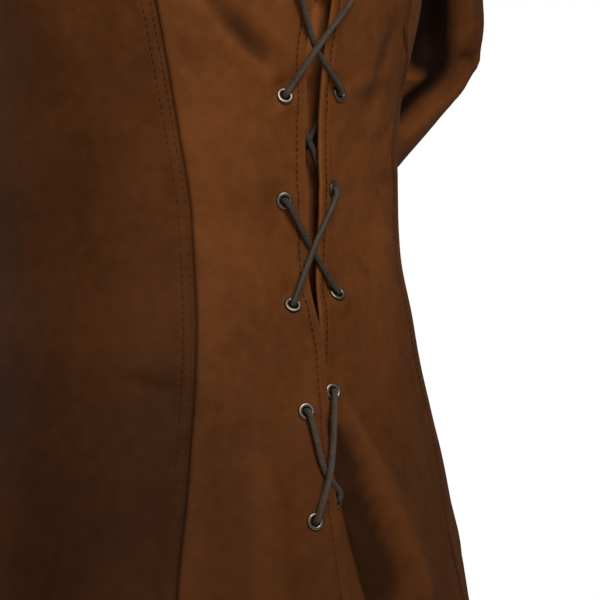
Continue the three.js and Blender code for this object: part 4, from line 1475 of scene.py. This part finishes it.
# %% Hood surface
HOOD_SEAM = row_table(
    ("y", "z"),
    (-112, 258),
    (-76, 304),
    (-12, 328),
    (62, 312),
    (116, 252),
    (132, 176),
    (116, 96),
    (95, 34),
    (75.2, 1.5),
)
HOOD = dict(front=22.0, nape=176.0, lift=-0.45, crown=0.36, cheek=0.13, cheek_rise=0.36, seam_x=0.35)
HOOD_LONG, HOOD_HIGH = 560, 260  # what the shares along the seam and down to the neck measure for creases
HOOD_COLUMNS, SEAM_ROW, FRONT_ROW = 97, 11, 2  # points along the seam, and those with a row of stitches
FRONT_HEM = 12.5
HOOD_CREASES = [
    # Share along the seam and share from seam to neck, at both ends, then width and depth.
    (0.30, 0.55, 0.62, 0.86, 12, -3.2),
    (0.22, 0.72, 0.50, 0.95, 10, 2.6),
    (0.62, 0.40, 0.80, 0.85, 12, -3.0),
    (0.72, 0.30, 0.88, 0.78, 10, 2.4),
    (0.10, 0.30, 0.34, 0.44, 13, 1.6),
    (0.46, 0.20, 0.56, 0.50, 14, -1.6),
    (0.06, 0.62, 0.20, 0.90, 9, -1.6),
]


def hood_grid(side):
    share = np.linspace(0, 1, HOOD_COLUMNS)
    at = np.linspace(0, 1, len(HOOD_SEAM["y"]))
    seam_y, seam_z = (track(at, HOOD_SEAM[key])(share) for key in ("y", "z"))
    seam = np.stack([0 * share + HOOD["seam_x"], seam_y, seam_z], -1)
    angle = HOOD["front"] + (HOOD["nape"] - HOOD["front"]) * share
    base = on_torso(angle, neck_z(angle, 0 * angle)) + np.array([0, 0, HOOD["lift"]])
    height = np.linalg.norm(seam - base, axis=-1, keepdims=True)
    crown = seam + height * np.array([HOOD["crown"], 0, 0])
    cheek = base + height * np.array([HOOD["cheek"], 0, HOOD["cheek_rise"]])
    t = np.concatenate([np.linspace(0, 0.04, 9)[:-1], np.linspace(0.04, 1, 62)])[None, :, None]
    p = [x[:, None] for x in (seam, crown, cheek, base)]
    grid = (1 - t) ** 3 * p[0] + 3 * (1 - t) ** 2 * t * p[1] + 3 * (1 - t) * t**2 * p[2] + t**3 * p[3]
    s, u = share[:, None] + 0 * t[..., 0], t[..., 0] + 0 * share[:, None]
    fold = np.zeros_like(s)
    for s0, u0, s1, u1, width, depth in HOOD_CREASES:
        line = (s1 - s0) * HOOD_LONG, (u1 - u0) * HOOD_HIGH
        place = (s - s0) * HOOD_LONG, (u - u0) * HOOD_HIGH
        fold += (1.0 if side > 0 else 0.8) * depth * crease(line, place, width)
    fold *= smooth(0.0, 0.12, u) * (1 - smooth(0.9, 1.0, u)) * smooth(0.0, 0.06, s)
    from_seam, from_front = u * height * 1.2, s * HOOD_LONG
    edge = 0.45 * (1 - smooth(12, 15, from_front)) + bump_row(from_front, FRONT_HEM, 1.0, -0.45)
    seams = bump_row(from_seam, 0, 1.2, -0.5) + bump_row(from_seam, 4.0, 1.0, -0.3)
    neck = bump_row((1 - u) * height, 0, 1.5, -0.4)
    relief = (edge + seams + neck + fold) * smooth(0.0, 1.2, from_seam)
    grid[..., 0] *= side
    if side < 0:
        grid, relief, fold = grid[:, ::-1], relief[:, ::-1], fold[:, ::-1]
    grid = grid + grid_normals(grid, False) * relief[..., None]
    # Wear and a painted highlight on the tops of the folds and the turned front edge, painted shade in the
    # fold hollows.
    rubbed_and_highlight = 0.6 * smooth(0.5, 2.4, fold) + 0.6 * np.exp(-from_front / 2.5)
    masks = dict(wear_and_highlight=np.clip(rubbed_and_highlight, 0, 1), deep=smooth(0.4, 3.0, -fold))
    return grid, grid_normals(grid, False), masks


def hood(side, suffix):
    grid, out, masks = hood_grid(side)
    obj = shell("leather_hood" + suffix, grid, out, WALL, attributes=masks, bulge=0.4)
    obj.data.materials.append(LEATHER)
    last = HOOD_COLUMNS - 1
    run, near_seam = np.linspace(0, last, 600), SEAM_ROW if side > 0 else -1 - SEAM_ROW
    places = np.arange(HOOD_COLUMNS)
    line, normal = (read_along(run, places, x[:, near_seam]) for x in (grid + 0.1 * out, out))
    front = (grid[FRONT_ROW] + 0.1 * out[FRONT_ROW], out[FRONT_ROW])
    thread = stitches("stitches_hood" + suffix, [(line, normal), front])
    declare_sheet(obj, "hood" + suffix, grid)


for side, suffix in SIDES:
    hood(side, suffix)
